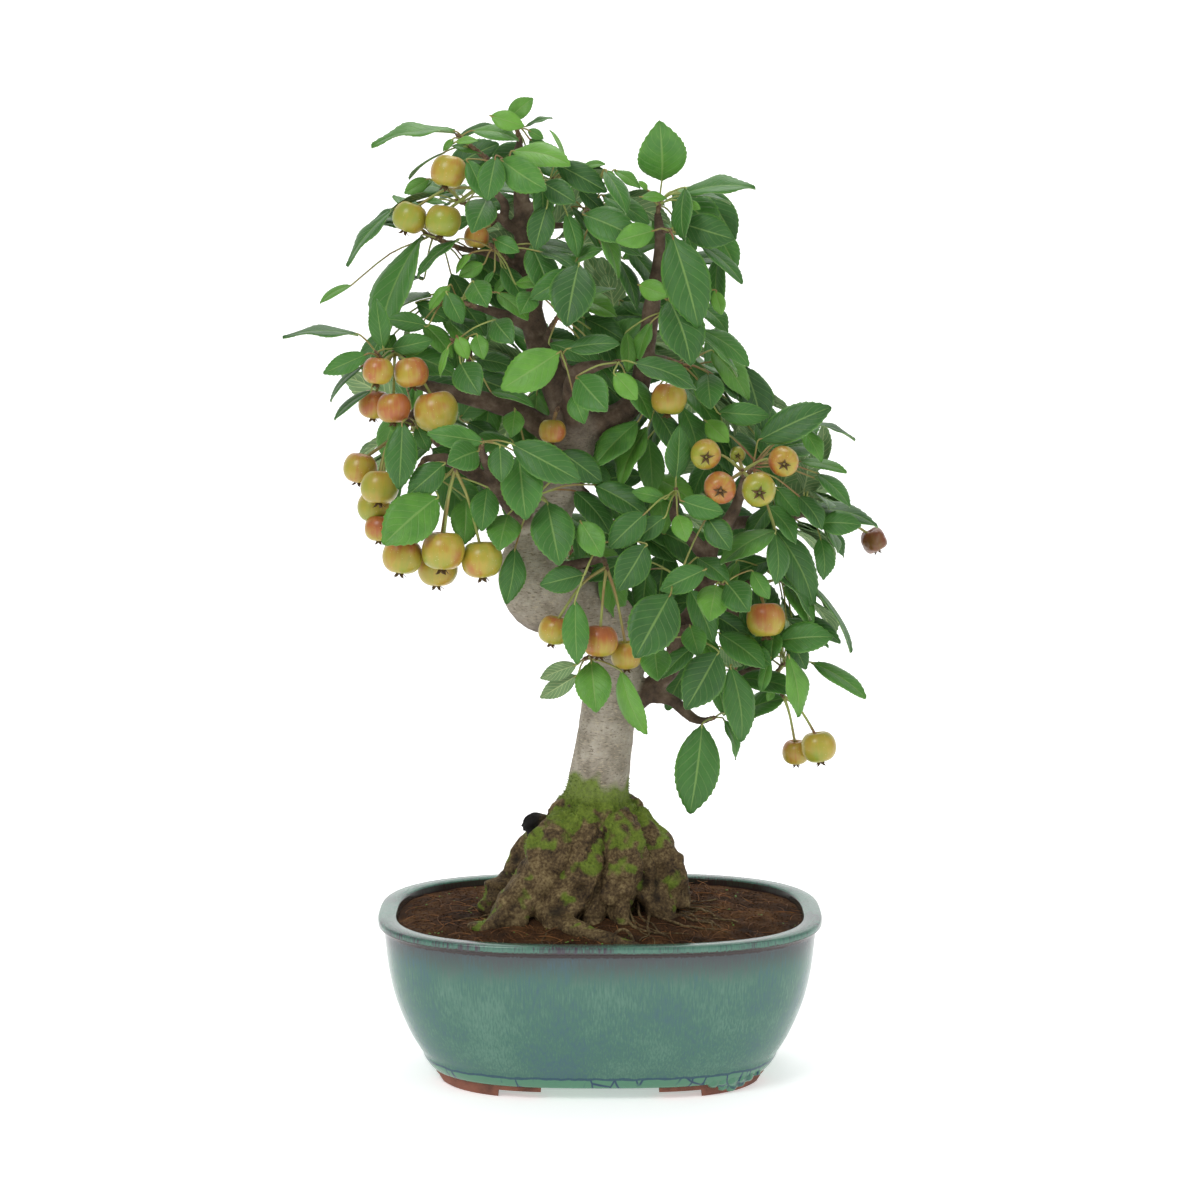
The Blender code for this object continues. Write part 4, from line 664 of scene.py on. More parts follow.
# a leaf measured on the front view, moved in depth in small steps until it is clear of everything else
def placeSeenLeaf(crown, node, foot, row, clear):
    baseX, baseH, tipX, tipH, seenWidth, depth = row[:6]
    seenLength = math.hypot(tipX - baseX, tipH - baseH)
    trueLength = max(seenLength, seenWidth / growth["bladeRatio"])
    lean = -max(math.sqrt(trueLength ** 2 - seenLength ** 2), 0.12 * seenLength)
    trueWidth = seenWidth if seenWidth > 0.4 * seenLength else 0.45 * seenLength
    for leanChange in growth["leanChanges"]:
        for shift in growth["leafShifts"]:
            base = onView(baseX, baseH, depth + shift)
            tip = onView(tipX, tipH, depth + shift + lean + leanChange)
            for turn in growth["faceTurns"]:
                axis = (tip - base).normalized()
                face = faceToViewer(axis, seenWidth, trueWidth, underside in row)
                face = face * math.cos(turn) + axis.cross(face) * math.sin(turn)
                leaf = Leaf(foot, base, tip, face, trueWidth)
                if fits(crown, node, leaf, clear):
                    return leaf
    return None


# a leaf that the front view doesn't show, grown in a spiral round its shoot
def placeHiddenLeaf(crown, node, shoot, foot, number, count, draw, frontLimit, clear):
    start, end = shoot[0][0], shoot[-1][0]
    way = (end - start).normalized()
    along = (number + 1) / (count + 1)
    length = draw.uniform(*growth["hiddenLength"])
    petiole = draw.uniform(*growth["hiddenPetiole"])
    width = length * draw.uniform(*growth["hiddenRatio"])
    steep = math.radians(growth["steepest"] - growth["flattening"] * along)
    side = way.orthogonal().normalized()
    firstTurn = growth["turn"] * number + draw.uniform(0, math.tau)
    flat = Vector((end.x, end.y, 0))
    outward = flat.normalized() if flat.length > 20 else Vector((0, 1, 0))
    for shrink in growth["shrinks"]:
        for attempt in range(growth["tries"]):
            turn = firstTurn + math.radians(growth["tryTurn"]) * ((attempt + 1) // 2) * (1 if attempt % 2
                else -1)
            around = side * math.cos(turn) + way.cross(side) * math.sin(turn)
            reach = way * math.cos(steep) + around * math.sin(steep) + outward * growth["outward"]
            reach.normalize()
            base = foot + reach * petiole * shrink
            tip = base + (reach + Vector((0, 0, -growth["droop"]))).normalized() * length * shrink
            axis = (tip - base).normalized()
            light = outward * 0.7 + Vector((0, 0, 1))
            face = (light - axis * light.dot(axis)).normalized()
            leaf = Leaf(foot, base, tip, face, width * shrink)
            middle = (base + tip) / 2
            half = axis.cross(face).normalized() * width * shrink / 2
            seen = [seenAt(p) for p in (tip, middle + half, middle - half)]
            if seenAt(middle)[2] < frontLimit or not all(insideCrown(x, h) for x, h, _ in seen):
                continue
            if fits(crown, node, leaf, clear):
                return leaf
    return None


def twigPath(start, end):
    way = (end - start).normalized()

    def cost(spot):
        point, radius = spot
        return (point - start).length - radius + 0.5 * max(0, point.z - start.z + 4)

    root, _ = min((spot for path in coarseLimbs.values() for spot in path), key=cost)
    neck = start - way * 3
    middle = (root + neck) / 2 + Vector((0, 0, 0.06 * (neck - root).length))
    if (neck - root).length < growth["shortTwig"]:
        return [(root, 2.4), (start, 1.9)] if (neck - root).normalized().dot(way) > 0.95 else [(root, 2.4),
            (neck, 1.9), (start, 1.9)]
    return [(root, 2.6), (middle, 2.1), (neck, 1.9), (start, 1.9)]


def pedicelPath(spur, appleTop, eyeWay):
    end = appleTop + eyeWay * 2
    reach = (end - spur).length
    if reach < growth["longPedicel"]:
        return [(spur, 0.8), (end, 0.8)]
    return [(spur, 0.8), ((spur + end) / 2 + Vector((0, 0, 0.12 * reach)), 0.75), (end, 0.8)]


def appleFacing(spur, row):
    if len(row) > 4:
        return row[4].normalized()
    away = onView(*row[:3]) - spur
    return Vector((away.x * 0.3, away.y * 0.3, -abs(away.z) - 12)).normalized()


def keepLeaf(crown, leaves, name, leaf):
    if leaf is None:
        return
    leaves[name].append(leaf)
    crown.add(name, "whole", leaf.plate(growth["leafThickness"]))
    crown.add(name, "blade", leaf.plate(growth["leafThickness"], 0, False))


def growTree():
    crown = Crown()
    for path in coarseLimbs.values():
        crown.add("trunk", "wood", tubeShell([(p, r + 0.4) for p, r in path], 8))
    crown.add("trunk", "wood", tubeShell([(p, r + 0.3) for p, r in limbPath(hangingTwig, 1)], 6))
    twigs, shoots, apples = {}, {}, {}
    for name, row in list(bunches.items()) + list(sprays.items()):
        start, end = onView(*row[0]), onView(*row[1])
        twigs[name] = twigPath(start, end)
        crown.add("trunk", "wood", tubeShell([(p, r + 0.3) for p, r in twigs[name]], 6))
        shoots[name] = [(start + (end - start).normalized() * growth["clear"], 1.4), (end, 1.4 * 0.85)]
        crown.add(name, "shoot", tubeShell(shoots[name], 6))
    for name, (_, _, rows) in bunches.items():
        spur = shoots[name][-1][0]
        apples[name] = []
        for row in rows:
            eyeWay = appleFacing(spur, row)
            foot = footOn(shoots[name], len(apples[name]), len(rows))
            for shift in growth["appleShifts"]:
                centre = onView(row[0], row[1], row[2] + shift)
                top = centre - eyeWay * row[3] * 0.42
                stalk = pedicelPath(foot, top, eyeWay)
                shells = [tubeShell([(p, r + growth["leafClear"]) for p, r in stalk], 6), appleShell(centre,
                    row[3] + 2 * growth["leafClear"])]
                if all(crown.isClear(name, "apple", shell) for shell in shells):
                    break
            crown.add(name, "apple", shells[0])
            crown.add(name, "apple", appleShell(centre, row[3]))
            apples[name].append((centre, row[3], eyeWay, stalk))
    leaves = {name: [] for name in sprays}
    for name, (_, _, hidden, rows) in sprays.items():
        for number, row in enumerate(rows):
            foot = footOn(shoots[name], number, len(rows) + hidden)
            keepLeaf(crown, leaves, name, placeSeenLeaf(crown, name, foot, row, growth["leafClear"]))
    draw = random.Random(growth["seed"])
    for name, (_, _, hidden, rows) in sprays.items():
        frontLimit = -2 if rows else 12
        for number in range(hidden):
            foot = footOn(shoots[name], len(rows) + number, len(rows) + hidden)
            leaf = placeHiddenLeaf(crown, name, shoots[name], foot, number, hidden, draw, frontLimit,
                growth["leafClear"])
            keepLeaf(crown, leaves, name, leaf)
    return crown, twigs, shoots, apples, leaves


coarseLimbs = {name: limbPath(rows, 1) for name, rows in limbs.items()}
crown, twigs, shoots, apples, leaves = growTree()
print("tree grown:", sum(len(rows) for rows in leaves.values()), "leaves")


# Leaves that the part leaves out: small young ones, and filling ones behind the others
extraLeaves = {"spray_apex": [(-41, 550, -32, 545, 6, -8), (-42, 552, -27, 557, 4, 4)],
    "spray_top_left": [(-82, 543, -69, 544, 5, -12), (-83, 545, -89, 538, 4, -10)],
    "spray_crown_right": [(-20, 532, -28, 550, 3, 2), (-10, 529, 3, 531, 4, 6)], "spray_upper_left": [(-94,
    522, -104, 513, 4, 12), (-103, 509, -86, 508, 4, 2)], "spray_upper_inner": [(-73, 480, -82, 469, 5, -8),
    (-60, 470, -66, 461, 4, -8), (-52, 467, -60, 457, 6, -2)], "spray_left_high": [(-53, 457, -56, 450, 4,
    -2)], "spray_left_shoulder": [(-86, 427, -91, 410, 5, -40), (-81, 433, -75, 420, 9, -30)],
    "spray_centre_high": [(-38, 458, -45, 446, 13, -22)], "spray_right_top": [(23, 512, 38, 511, 6, -14),
    (49, 509, 57, 505, 5, -16), (27, 516, 22, 521, 4, 8)], "spray_upper_right": [(3, 527, 9, 520, 5, 4)],
    "spray_right_middle": [(121, 353, 135, 350, 4, -2)], "spray_right_bottom": [(98, 234, 95, 226, 5, -8)],}
extra = {"clear": 0.12, "fill": 3, "frontLimit": 4, "seed": 19, "gridStep": 6.5, "tries": 16, "length": (22,
    38), "depth": (-16, 40), "reach": (5, 46), "ratio": (0.5, 0.62)}
# places where the photo shows bare wood between the leaves: x, height, radius
woodShows = [(-43, 504, 15), (-43, 478, 10), (32, 477, 7), (-6, 383, 18), (14, 388, 9), (-38, 285, 26),
    (-20, 262, 20), (50, 232, 14), (30, 236, 12), (6, 240, 20)]


def growExtraLeaves():
    draw = random.Random(extra["seed"])
    for name, rows in extraLeaves.items():
        for number, row in enumerate(rows):
            foot = footOn(shoots[name], number, len(rows) + 1)
            keepLeaf(crown, leaves, name, placeSeenLeaf(crown, name, foot, row, extra["clear"]))
    for number in range(extra["fill"]):
        for name in sprays:
            foot = footOn(shoots[name], number, extra["fill"] + 1)
            leaf = placeHiddenLeaf(crown, name, shoots[name], foot, number, extra["fill"], draw,
                extra["frontLimit"], extra["clear"])
            keepLeaf(crown, leaves, name, leaf)
    print("leaves with the small and the filling ones:", sum(len(rows) for rows in leaves.values()))


growExtraLeaves()


# close the crown as the photo shows it: a leaf for each place of the front view where none stands yet
def closeCrown():
    draw = random.Random(extra["seed"])
    eye = Vector((0, 0, cameraView["targetZ"])) - viewForward * cameraView["distance"]
    feet = [(name, row[-1][0] - (row[-1][0] - row[0][0]) * part) for name, row in shoots.items()
        if name in sprays for part in (0.1, 0.5)]

    def isCovered(x, height):
        ray = (onView(x, height, 0) - eye).normalized()
        woody = any(math.hypot(x - gx, height - gh) < radius for gx, gh, radius in woodShows)
        return any(tree.ray_cast(eye, ray)[0] is not None for _, kind, _, _, tree in crown.pieces
            if kind in ("blade", "apple") or (woody and kind == "wood"))

    def tryLeaf(x, height, wholeClear):
        length = draw.uniform(*extra["length"])
        width = length * draw.uniform(*extra["ratio"])
        outward = math.atan2(height - 390, x + 10)
        way = outward * 0.25 + math.radians(-90) * 0.6 + draw.gauss(0, 0.7)
        dx, dh = math.cos(way) * length / 2, math.sin(way) * length / 2
        depth = draw.uniform(*extra["depth"])
        base = onView(x - dx, height - dh, depth)
        tip = onView(x + dx, height + dh, depth - draw.uniform(2, 14))
        name, foot = min(feet, key=lambda row: (row[1] - base).length)
        low, high = extra["reach"]
        if not low < (foot - base).length < high:
            return False
        axis = (tip - base).normalized()
        if axis.dot((base - foot).normalized()) < -0.2:
            return False
        face = faceToViewer(axis, width * draw.uniform(0.6, 1), width, False)
        leaf = Leaf(foot, base, tip, face, width)
        half = axis.cross(face).normalized() * width / 2
        seen = [seenAt(p) for p in (tip, (base + tip) / 2 + half, (base + tip) / 2 - half)]
        if not all(insideCrown(px, ph) for px, ph, _ in seen):
            return False
        if wholeClear:
            free = fits(crown, name, leaf, extra["clear"])
        else:
            free = crown.isClear(name, "blade", leaf.plate(growth["leafThickness"], 0, False))
        if free:
            keepLeaf(crown, leaves, name, leaf)
        return free

    added = 0
    step = extra["gridStep"]
    for wholeClear in (True, False):
        for row in range(int(380 / step)):
            for column in range(int(320 / step)):
                x, height = -160 + (column + row % 2 / 2) * step, 190 + row * step
                if insideCrown(x, height) and not isCovered(x, height):
                    added += any(tryLeaf(x, height, wholeClear) for _ in range(extra["tries"]))
    print("leaves that close the crown:", added)


closeCrown()

# Pot
pot = {
    "halfLength": 127, "halfDepth": 88, "corner": 2.8, "depthTaper": 0.75, "sides": 160,
    # how far the wall stands in from the rim at each height: lip, wall and base moulding, then the inside
    "outside": [(0, 92.6), (0.3, 93.6), (1.2, 94.0), (9.4, 94.0), (10.2, 93.6), (10.7, 92.4)],
    "lip": [(0, 90.3), (0.5, 89.6), (2.4, 89.2), (3.1, 88.4)],
    "wall": [(3.4, 86), (4.0, 80), (5.5, 66), (8.2, 52), (12, 40), (17.6, 27), (22.6, 18.4)],
    "moulding": [(24.2, 16.2), (24.6, 14.9), (24.9, 13.6), (26, 11.6), (27.6, 9.2), (28.8, 8.0), (29.6, 7.5)],
    "inside": [(11.5, 88), (17, 55), (28, 28), (37, 17)],
    "foot": [(30.5, 9), (30.9, 7.4), (31.5, 4), (33.4, 0.7), (34.5, 0)], "footDepth": 15,
    "footGapFront": 33, "footStepFront": 57, "footGapSide": 20, "footStepSide": 30, "footStepHeight": 4.5,
    "holeSpacing": 52, "holeRadius": 8,
}
# the darkest brown of the glaze is painted shade, for the crease under the lip and the rim's inner face
glazeLook = {
    "body": "#447061", "bodyLight": "#5a8272", "bodyBlue": "#41656d", "violet": "#453f49", "lip": "#4a7465",
    "creaseShade": "#33211f", "band": "#52856a", "bandLine": "#23405c", "streakWidth": 0.9, "patchSize": 40,
}
clayLook = {"clay": "#8b5744", "darkClay": "#5e3a30", "grit": 0.5}


def oblong(inset, height, sides):
    halfX = pot["halfLength"] - inset
    halfY = pot["halfDepth"] - inset * pot["depthTaper"]
    ring = []
    for i in range(sides):
        angle = math.tau * i / sides
        c, s = math.cos(angle), math.sin(angle)
        ring.append(Vector((math.copysign(halfX * abs(c) ** (2 / pot["corner"]), c),
            math.copysign(halfY * abs(s) ** (2 / pot["corner"]), s), height)))
    return ring


def loftFaces(rings, sides, closed=True):
    faces = [tuple(reversed(range(sides)))] if closed else []
    for i in range(rings - 1):
        for k in range(sides):
            a, b = i * sides + k, i * sides + (k + 1) % sides
            faces.append((a, b, b + sides, a + sides))
    if closed:
        last = (rings - 1) * sides
        faces.append(tuple(range(last, last + sides)))
    return faces


# Fired stoneware with a poured copper-green glaze: glossy, pooled pale green at the foot, with painted shade
# as dark lines under the lip and inside the rim
def makeGlaze():
    finish, tree, shader, place = startFinish("poured copper green glaze on stoneware", 0.16)
    xyz = addNode(tree, "SeparateXYZ", {"Vector": place}).outputs
    inset = addNode(tree, "Attribute", attribute_name="inset").outputs["Fac"]
    streaky = addNode(tree, "VectorMath", {0: place, 1: (1, 1, 0.055)}, operation="MULTIPLY")
    streaks = addNode(tree, "TexNoise", {"Vector": streaky, "Scale": 1 / (glazeLook["streakWidth"] * mm),
        "Detail": 5, "Roughness": 0.65})
    patches = addNode(tree, "TexNoise", {"Vector": place, "Scale": 1 / (glazeLook["patchSize"] * mm),
        "Detail": 5, "Roughness": 0.62})
    mixed = addNode(tree, "Math", {0: patches, 1: streaks}, operation="ADD")
    bodyShare = addNode(tree, "MapRange", {"Value": mixed, "From Min": 0.76, "From Max": 1.26})
    body = addNode(tree, "ValToRGB", {"Fac": bodyShare}, [(0, glazeLook["bodyBlue"]),
        (0.5, glazeLook["body"]), (1, glazeLook["bodyLight"])])
    # the violet haze under the lip ends in uneven streaks
    ragged = addNode(tree, "Math", {0: mixed, 1: 0.022, 2: xyz["Z"]}, operation="MULTIPLY_ADD")
    haze = addNode(tree, "MapRange", {"Value": ragged, "From Min": 0.092, "From Max": 0.112,
        "To Max": 0.85}, interpolation_type="SMOOTHSTEP")
    # the pale green foot band with its blue edge and the outlines of its runs
    wobble = addNode(tree, "TexNoise", {"Vector": place, "Scale": 130, "Detail": 3})
    height = addNode(tree, "Math", {0: wobble, 1: 0.0026, 2: xyz["Z"]}, operation="MULTIPLY_ADD")
    foot = addNode(tree, "MapRange", {"Value": height, "From Min": 0.0143, "From Max": 0.0150, "To Min": 1,
        "To Max": 0})
    tall = addNode(tree, "VectorMath", {0: place, 1: (1, 1, 0.35)}, operation="MULTIPLY")
    cells = addNode(tree, "TexVoronoi", {"Vector": tall, "Scale": 105}, feature="DISTANCE_TO_EDGE")
    runs = addNode(tree, "MapRange", {"Value": cells, "From Min": 0.02, "From Max": 0.07, "To Min": 1,
        "To Max": 0})
    runPatch = addNode(tree, "MapRange", {"Value": patches, "From Min": 0.46, "From Max": 0.54})
    runLines = addNode(tree, "Math", {0: runs, 1: runPatch}, operation="MULTIPLY")
    band = layCoats(tree, colour(glazeLook["band"]), (runLines, glazeLook["bandLine"]))
    edge = addNode(tree, "Math", {0: height, 1: 0.0150, 2: 0.00075}, operation="COMPARE")
    edgeShare = addNode(tree, "Math", {0: edge, 1: 0.75}, operation="MULTIPLY")
    # the lip, and painted shade: dark lines in the crease under it and on its inner face
    lipShare = addNode(tree, "MapRange", {"Value": mixed, "From Min": 0.8, "From Max": 1.25})
    lip = addNode(tree, "ValToRGB", {"Fac": lipShare}, [(0, glazeLook["violet"]), (0.4, glazeLook["lip"]),
        (1, glazeLook["bodyLight"])])
    onLip = addNode(tree, "MapRange", {"Value": xyz["Z"], "From Min": 0.0898, "From Max": 0.0904})
    ragLine = addNode(tree, "Math", {0: streaks, 1: -0.004, 2: xyz["Z"]}, operation="MULTIPLY_ADD")
    underLip = addNode(tree, "Math", {0: ragLine, 1: 0.0870, 2: 0.0016}, operation="COMPARE")
    insideLip = addNode(tree, "Math", {0: inset, 1: 10.9, 2: 0.5}, operation="COMPARE")
    shadeLines = addNode(tree, "Math", {0: underLip, 1: insideLip}, operation="MAXIMUM")
    shadeLineShare = addNode(tree, "Math", {0: shadeLines, 1: 0.85}, operation="MULTIPLY")
    # the dark lines laid last are painted shade
    shade = layCoats(tree, body, (haze, glazeLook["violet"]), (foot, band), (edgeShare,
        glazeLook["bandLine"]), (onLip, lip), (shadeLineShare, glazeLook["creaseShade"]))
    bump = addNode(tree, "Bump", {"Height": streaks, "Strength": 0.12, "Distance": 0.0004})
    wire(shader, {"Base Color": shade, "Normal": bump})
    return finish


# Bare red-brown clay, fired but not glazed: matt and gritty
def makeClay():
    finish, tree, shader, place = startFinish("bare fired red clay", 0.85)
    grit = addNode(tree, "TexNoise", {"Vector": place, "Scale": 1 / (clayLook["grit"] * mm), "Detail": 3})
    stain = addNode(tree, "TexNoise", {"Vector": place, "Scale": 70, "Detail": 4})
    both = addNode(tree, "Math", {0: grit, 1: 0.35, 2: stain}, operation="MULTIPLY_ADD")
    shade = addNode(tree, "ValToRGB", {"Fac": both}, [(0.45, clayLook["darkClay"]),
        (0.75, clayLook["clay"])])
    bump = addNode(tree, "Bump", {"Height": grit, "Strength": 0.3, "Distance": 0.0003})
    wire(shader, {"Base Color": shade, "Normal": bump})
    return finish


def makePot():
    rows = pot["moulding"][::-1] + smoothRows(pot["wall"], 3)[::-1] + pot["lip"][::-1]
    rows += pot["outside"] + pot["inside"]
    sides = pot["sides"]
    points, insets = [], []
    for inset, z in rows:
        points += oblong(inset, z, sides)
        insets += [inset if z > 80 else 0] * sides
    faces = loftFaces(len(rows), sides, closed=False)
    shell = meshPiece("potGlaze", points, faces, [glaze], sharpDegrees=60)
    addAttribute(shell, "inset", insets)
    fillFloor(shell, len(rows), sides)
    finishPiece(shell, "glazed_pot", "pot")
    feet = makeFeet(clay)
    finishPiece(feet, "glazed_pot", "pot")
    print("pot made")


def keepCutter(bm, home):
    mesh = bpy.data.meshes.new("cutter")
    bm.to_mesh(mesh)
    bm.free()
    home.objects.link(bpy.data.objects.new("cutter", mesh))


# close the pot's floor, above and below, and open its two drainage holes
def fillFloor(shell, rings, sides):
    bm = bmesh.new()
    bm.from_mesh(shell.data)
    bm.verts.ensure_lookup_table()
    bottom = [bm.verts[k] for k in range(sides)]
    top = [bm.verts[(rings - 1) * sides + k] for k in range(sides)]
    bm.faces.new(reversed(bottom))
    bm.faces.new(top)
    bm.to_mesh(shell.data)
    bm.free()
    holes = startHome("drainHoles")
    radius = pot["holeRadius"] * mm
    for x in (-pot["holeSpacing"], pot["holeSpacing"]):
        bm = bmesh.new()
        bmesh.ops.create_cone(bm, cap_ends=True, segments=40, radius1=radius, radius2=radius, depth=20 * mm)
        bmesh.ops.translate(bm, vec=Vector((x, 0, 12)) * mm, verts=bm.verts)
        keepCutter(bm, holes)
    cutWith(shell, holes)


def cutWith(piece, cutters):
    modifier = piece.modifiers.new("cut", "BOOLEAN")
    modifier.operation, modifier.operand_type, modifier.solver = "DIFFERENCE", "COLLECTION", "EXACT"
    modifier.collection = cutters
    applyModifiers(piece)
    dropHome(cutters)


def boxBetween(low, high, home):
    bm = bmesh.new()
    bmesh.ops.create_cube(bm, size=1)
    bmesh.ops.scale(bm, vec=(Vector(high) - Vector(low)) * mm, verts=bm.verts)
    bmesh.ops.translate(bm, vec=(Vector(high) + Vector(low)) / 2 * mm, verts=bm.verts)
    keepCutter(bm, home)


def makeFeet(clay):
    sides = 96
    rows = pot["foot"][::-1]
    points = [p for inset, z in rows for p in oblong(inset, z, sides)]
    feet = meshPiece("footClay", points, loftFaces(len(rows), sides), [clay])
    cuts = startHome("footCuts")
    inset = pot["foot"][0][0] + pot["footDepth"]
    core = [p for z in (-2, 12) for p in oblong(inset, z, sides)]
    middle = meshPiece("footCore", core, loftFaces(2, sides), [clay])
    scene.collection.objects.unlink(middle)
    cuts.objects.link(middle)
    far = 200
    gapFront, stepFront = pot["footGapFront"], pot["footStepFront"]
    gapSide, stepSide = pot["footGapSide"], pot["footStepSide"]
    for x, y, top in ((gapFront, far, 12), (far, gapSide, 12), (stepFront, far, pot["footStepHeight"]),
            (far, stepSide, pot["footStepHeight"])):
        boxBetween((-x, -y, -2), (x, y, top), cuts)
    cutWith(feet, cuts)
    bevel = feet.modifiers.new("worn edges", "BEVEL")
    bevel.width, bevel.segments, bevel.limit_method = 0.7 * mm, 2, "ANGLE"
    bevel.angle_limit = math.radians(50)
    applyModifiers(feet)
    feet.data.shade_smooth()
    feet.data.set_sharp_from_angle(angle=math.radians(40))
    return feet


glaze, clay = makeGlaze(), makeClay()
makePot()


# the glaze that ran over the right front foot: a few fat drops that grew together
drip = {"drops": [(58, 8, 3), (63, 5.5, 3.6), (68, 3.4, 4), (73, 2.4, 4.4), (78, 3.6, 4), (83, 5.4, 3.6),
    (88, 7.6, 3)], "top": 13, "sink": 1.3, "voxel": 0.6}


def makeDrip():
    paths = []
    for x, low, radius in drip["drops"]:
        path = []
        for step in range(6):
            z = drip["top"] + (low - drip["top"]) * step / 5
            inset = rowAt([(high, far) for far, high in pot["foot"][::-1]], z) if z < 7.5 else 28.5
            n = pot["corner"]
            halfX, halfY = pot["halfLength"] - inset, pot["halfDepth"] - inset * pot["depthTaper"]
            y = -halfY * (1 - (x / halfX) ** n) ** (1 / n)
            path.append((Vector((x, y + radius - drip["sink"], z)), radius * (0.9 if step in (0, 5)
                else 1)))
        paths.append(path)
    piece = stalks("glazeDrip", paths, 20, glaze)
    remesh = piece.modifiers.new("run together", "REMESH")
    remesh.mode, remesh.voxel_size = "VOXEL", drip["voxel"] * mm
    soften = piece.modifiers.new("soft", "SMOOTH")
    soften.factor, soften.iterations = 0.5, 6
    applyModifiers(piece)
    piece.data.shade_smooth()
    finishPiece(piece, "glazed_pot", "pot")


makeDrip()


# Moulded black plastic mesh: matt, a little worn
def makeScreens():
    finish = driftingFinish("moulded black plastic mesh", 0.55, 300, 3, [(0.4, "#1b1b1b"),
        (0.7, "#33302c")])
    for name in ("drain_screen_left", "drain_screen_right"):
        for spot in frame["nodes"][name].material_slots:
            spot.material = finish


makeScreens()


# Soil
soil = {"edgeZ": 90, "mound": 7, "edgeInset": 11.3, "floorZ": 17.4, "wallGap": 0.6, "rings": 46,
    "sides": 150, "rise": [(0, 1), (0.12, 1), (0.45, 0.8), (0.8, 0.35), (1, 0)], "lumpSize": 11,
    "lumpHeight": 2.0, "crumbsPerSquareCm": 13, "crumbSize": (0.5, 1.9), "fibresPerSquareCm": 1.5,
    "fibreLength": 17, "fibreWidth": 0.42, "sproutsPerSquareCm": 1.6, "sproutSize": (0.9, 1.9), "seed": 5,}
soilLook = {"dark": "#20150c", "brown": "#452c17", "light": "#71502f", "fibre": "#a06a3a",
    "fibreDark": "#4d321d", "sprout": "#6f9a3a", "grain": 1.1}


def soilShare(x, y):
    n = pot["corner"]
    halfX = pot["halfLength"] - soil["edgeInset"]
    halfY = pot["halfDepth"] - soil["edgeInset"] * pot["depthTaper"]
    return ((abs(x) / halfX) ** n + (abs(y) / halfY) ** n) ** (1 / n)


def soilZ(x, y):
    share = min(1, soilShare(x, y))
    rise = rowAt(soil["rise"], share)
    lumps = noise.noise(Vector((x, y, 0)) / soil["lumpSize"]) * soil["lumpHeight"]
    lumps += noise.noise(Vector((x, y, 9)) / 3.1) * 0.9
    return soil["edgeZ"] + soil["mound"] * rise + lumps * (1 - 0.7 * ease(share, 0.85, 1)) - 0.6


# Damp peat and bark potting soil: near black where wet, brown where dry, coarse crumbs
def makeSoilFinish():
    finish, tree, shader, place = startFinish("damp peat potting soil", 0.95, 0.2)
    grain = addNode(tree, "TexNoise", {"Vector": place, "Scale": 1 / (soilLook["grain"] * mm), "Detail": 4,
        "Roughness": 0.7})
    patch = addNode(tree, "TexNoise", {"Vector": place, "Scale": 60, "Detail": 3})
    both = addNode(tree, "Math", {0: grain, 1: patch}, operation="ADD")
    share = addNode(tree, "MapRange", {"Value": both, "From Min": 0.7, "From Max": 1.35})
    shade = addNode(tree, "ValToRGB", {"Fac": share}, [(0, soilLook["dark"]), (0.5, soilLook["brown"]),
        (1, soilLook["light"])])
    bump = addNode(tree, "Bump", {"Height": grain, "Strength": 0.8, "Distance": 0.0012})
    wire(shader, {"Base Color": shade, "Normal": bump})
    return finish


# Dry root and coir fibres: red-brown, dull
def makeFibreFinish():
    return driftingFinish("dry coir and root fibre", 0.8, 120, 2, [(0.35, soilLook["fibreDark"]),
        (0.65, soilLook["fibre"])])


# Seedlings and liverwort on the soil: fresh green, soft
def makeSproutFinish():
    return driftingFinish("tiny seedling leaves", 0.5, 200, 2, [(0.3, "#4c7a2a"),
        (0.7, soilLook["sprout"])])


# scatter a small shape over a surface; the attribute "cover" says how thickly it lies
def makeScatterTree(name, addShape):
    tree, given, result = startTree(name, [("Per square metre", "Float"), ("Smallest", "Float"), ("Largest",
        "Float"), ("Seed", "Int"), ("Tilt", "Float"), ("Finish", "Material")])
    cover = addNode(tree, "GeometryNodeInputNamedAttribute", {"Name": "cover"}, data_type="FLOAT")
    dense = addNode(tree, "Math", {0: cover, 1: given["Per square metre"]}, operation="MULTIPLY")
    spots = addNode(tree, "GeometryNodeDistributePointsOnFaces", {"Mesh": given["Geometry"],
        "Density": dense, "Seed": given["Seed"]})
    size = addNode(tree, "FunctionNodeRandomValue", {2: given["Smallest"], 3: given["Largest"],
        "Seed": given["Seed"]}, data_type="FLOAT")
    lean = addNode(tree, "Math", {0: given["Tilt"], 1: -1.0}, operation="MULTIPLY")
    lowTurn = addNode(tree, "CombineXYZ", {"X": lean, "Y": lean, "Z": -3.14})
    highTurn = addNode(tree, "CombineXYZ", {"X": given["Tilt"], "Y": given["Tilt"], "Z": 3.14})
    turn = addNode(tree, "FunctionNodeRandomValue", {0: lowTurn, 1: highTurn, "Seed": given["Seed"]},
        data_type="FLOAT_VECTOR")
    spin = addNode(tree, "FunctionNodeEulerToRotation", {0: turn})
    aim = addNode(tree, "FunctionNodeRotateRotation", {"Rotation": spots.outputs["Rotation"],
        "Rotate By": spin}, rotation_space="LOCAL")
    placed = addNode(tree, "GeometryNodeInstanceOnPoints", {"Points": spots, "Instance": addShape(tree),
        "Rotation": aim, "Scale": size.outputs[1]})
    whole = addNode(tree, "GeometryNodeRealizeInstances", {"Geometry": placed})
    coat = addNode(tree, "GeometryNodeSetMaterial", {"Geometry": whole, "Material": given["Finish"]})
    wire(result, {0: coat})
    return tree


# a crumb of soil one unit across, flattened
def crumbShape(tree):
    ball = addNode(tree, "GeometryNodeMeshIcoSphere", {"Radius": 0.5, "Subdivisions": 1})
    return addNode(tree, "GeometryNodeTransform", {"Geometry": ball, "Scale": (1, 0.8, 0.6)})


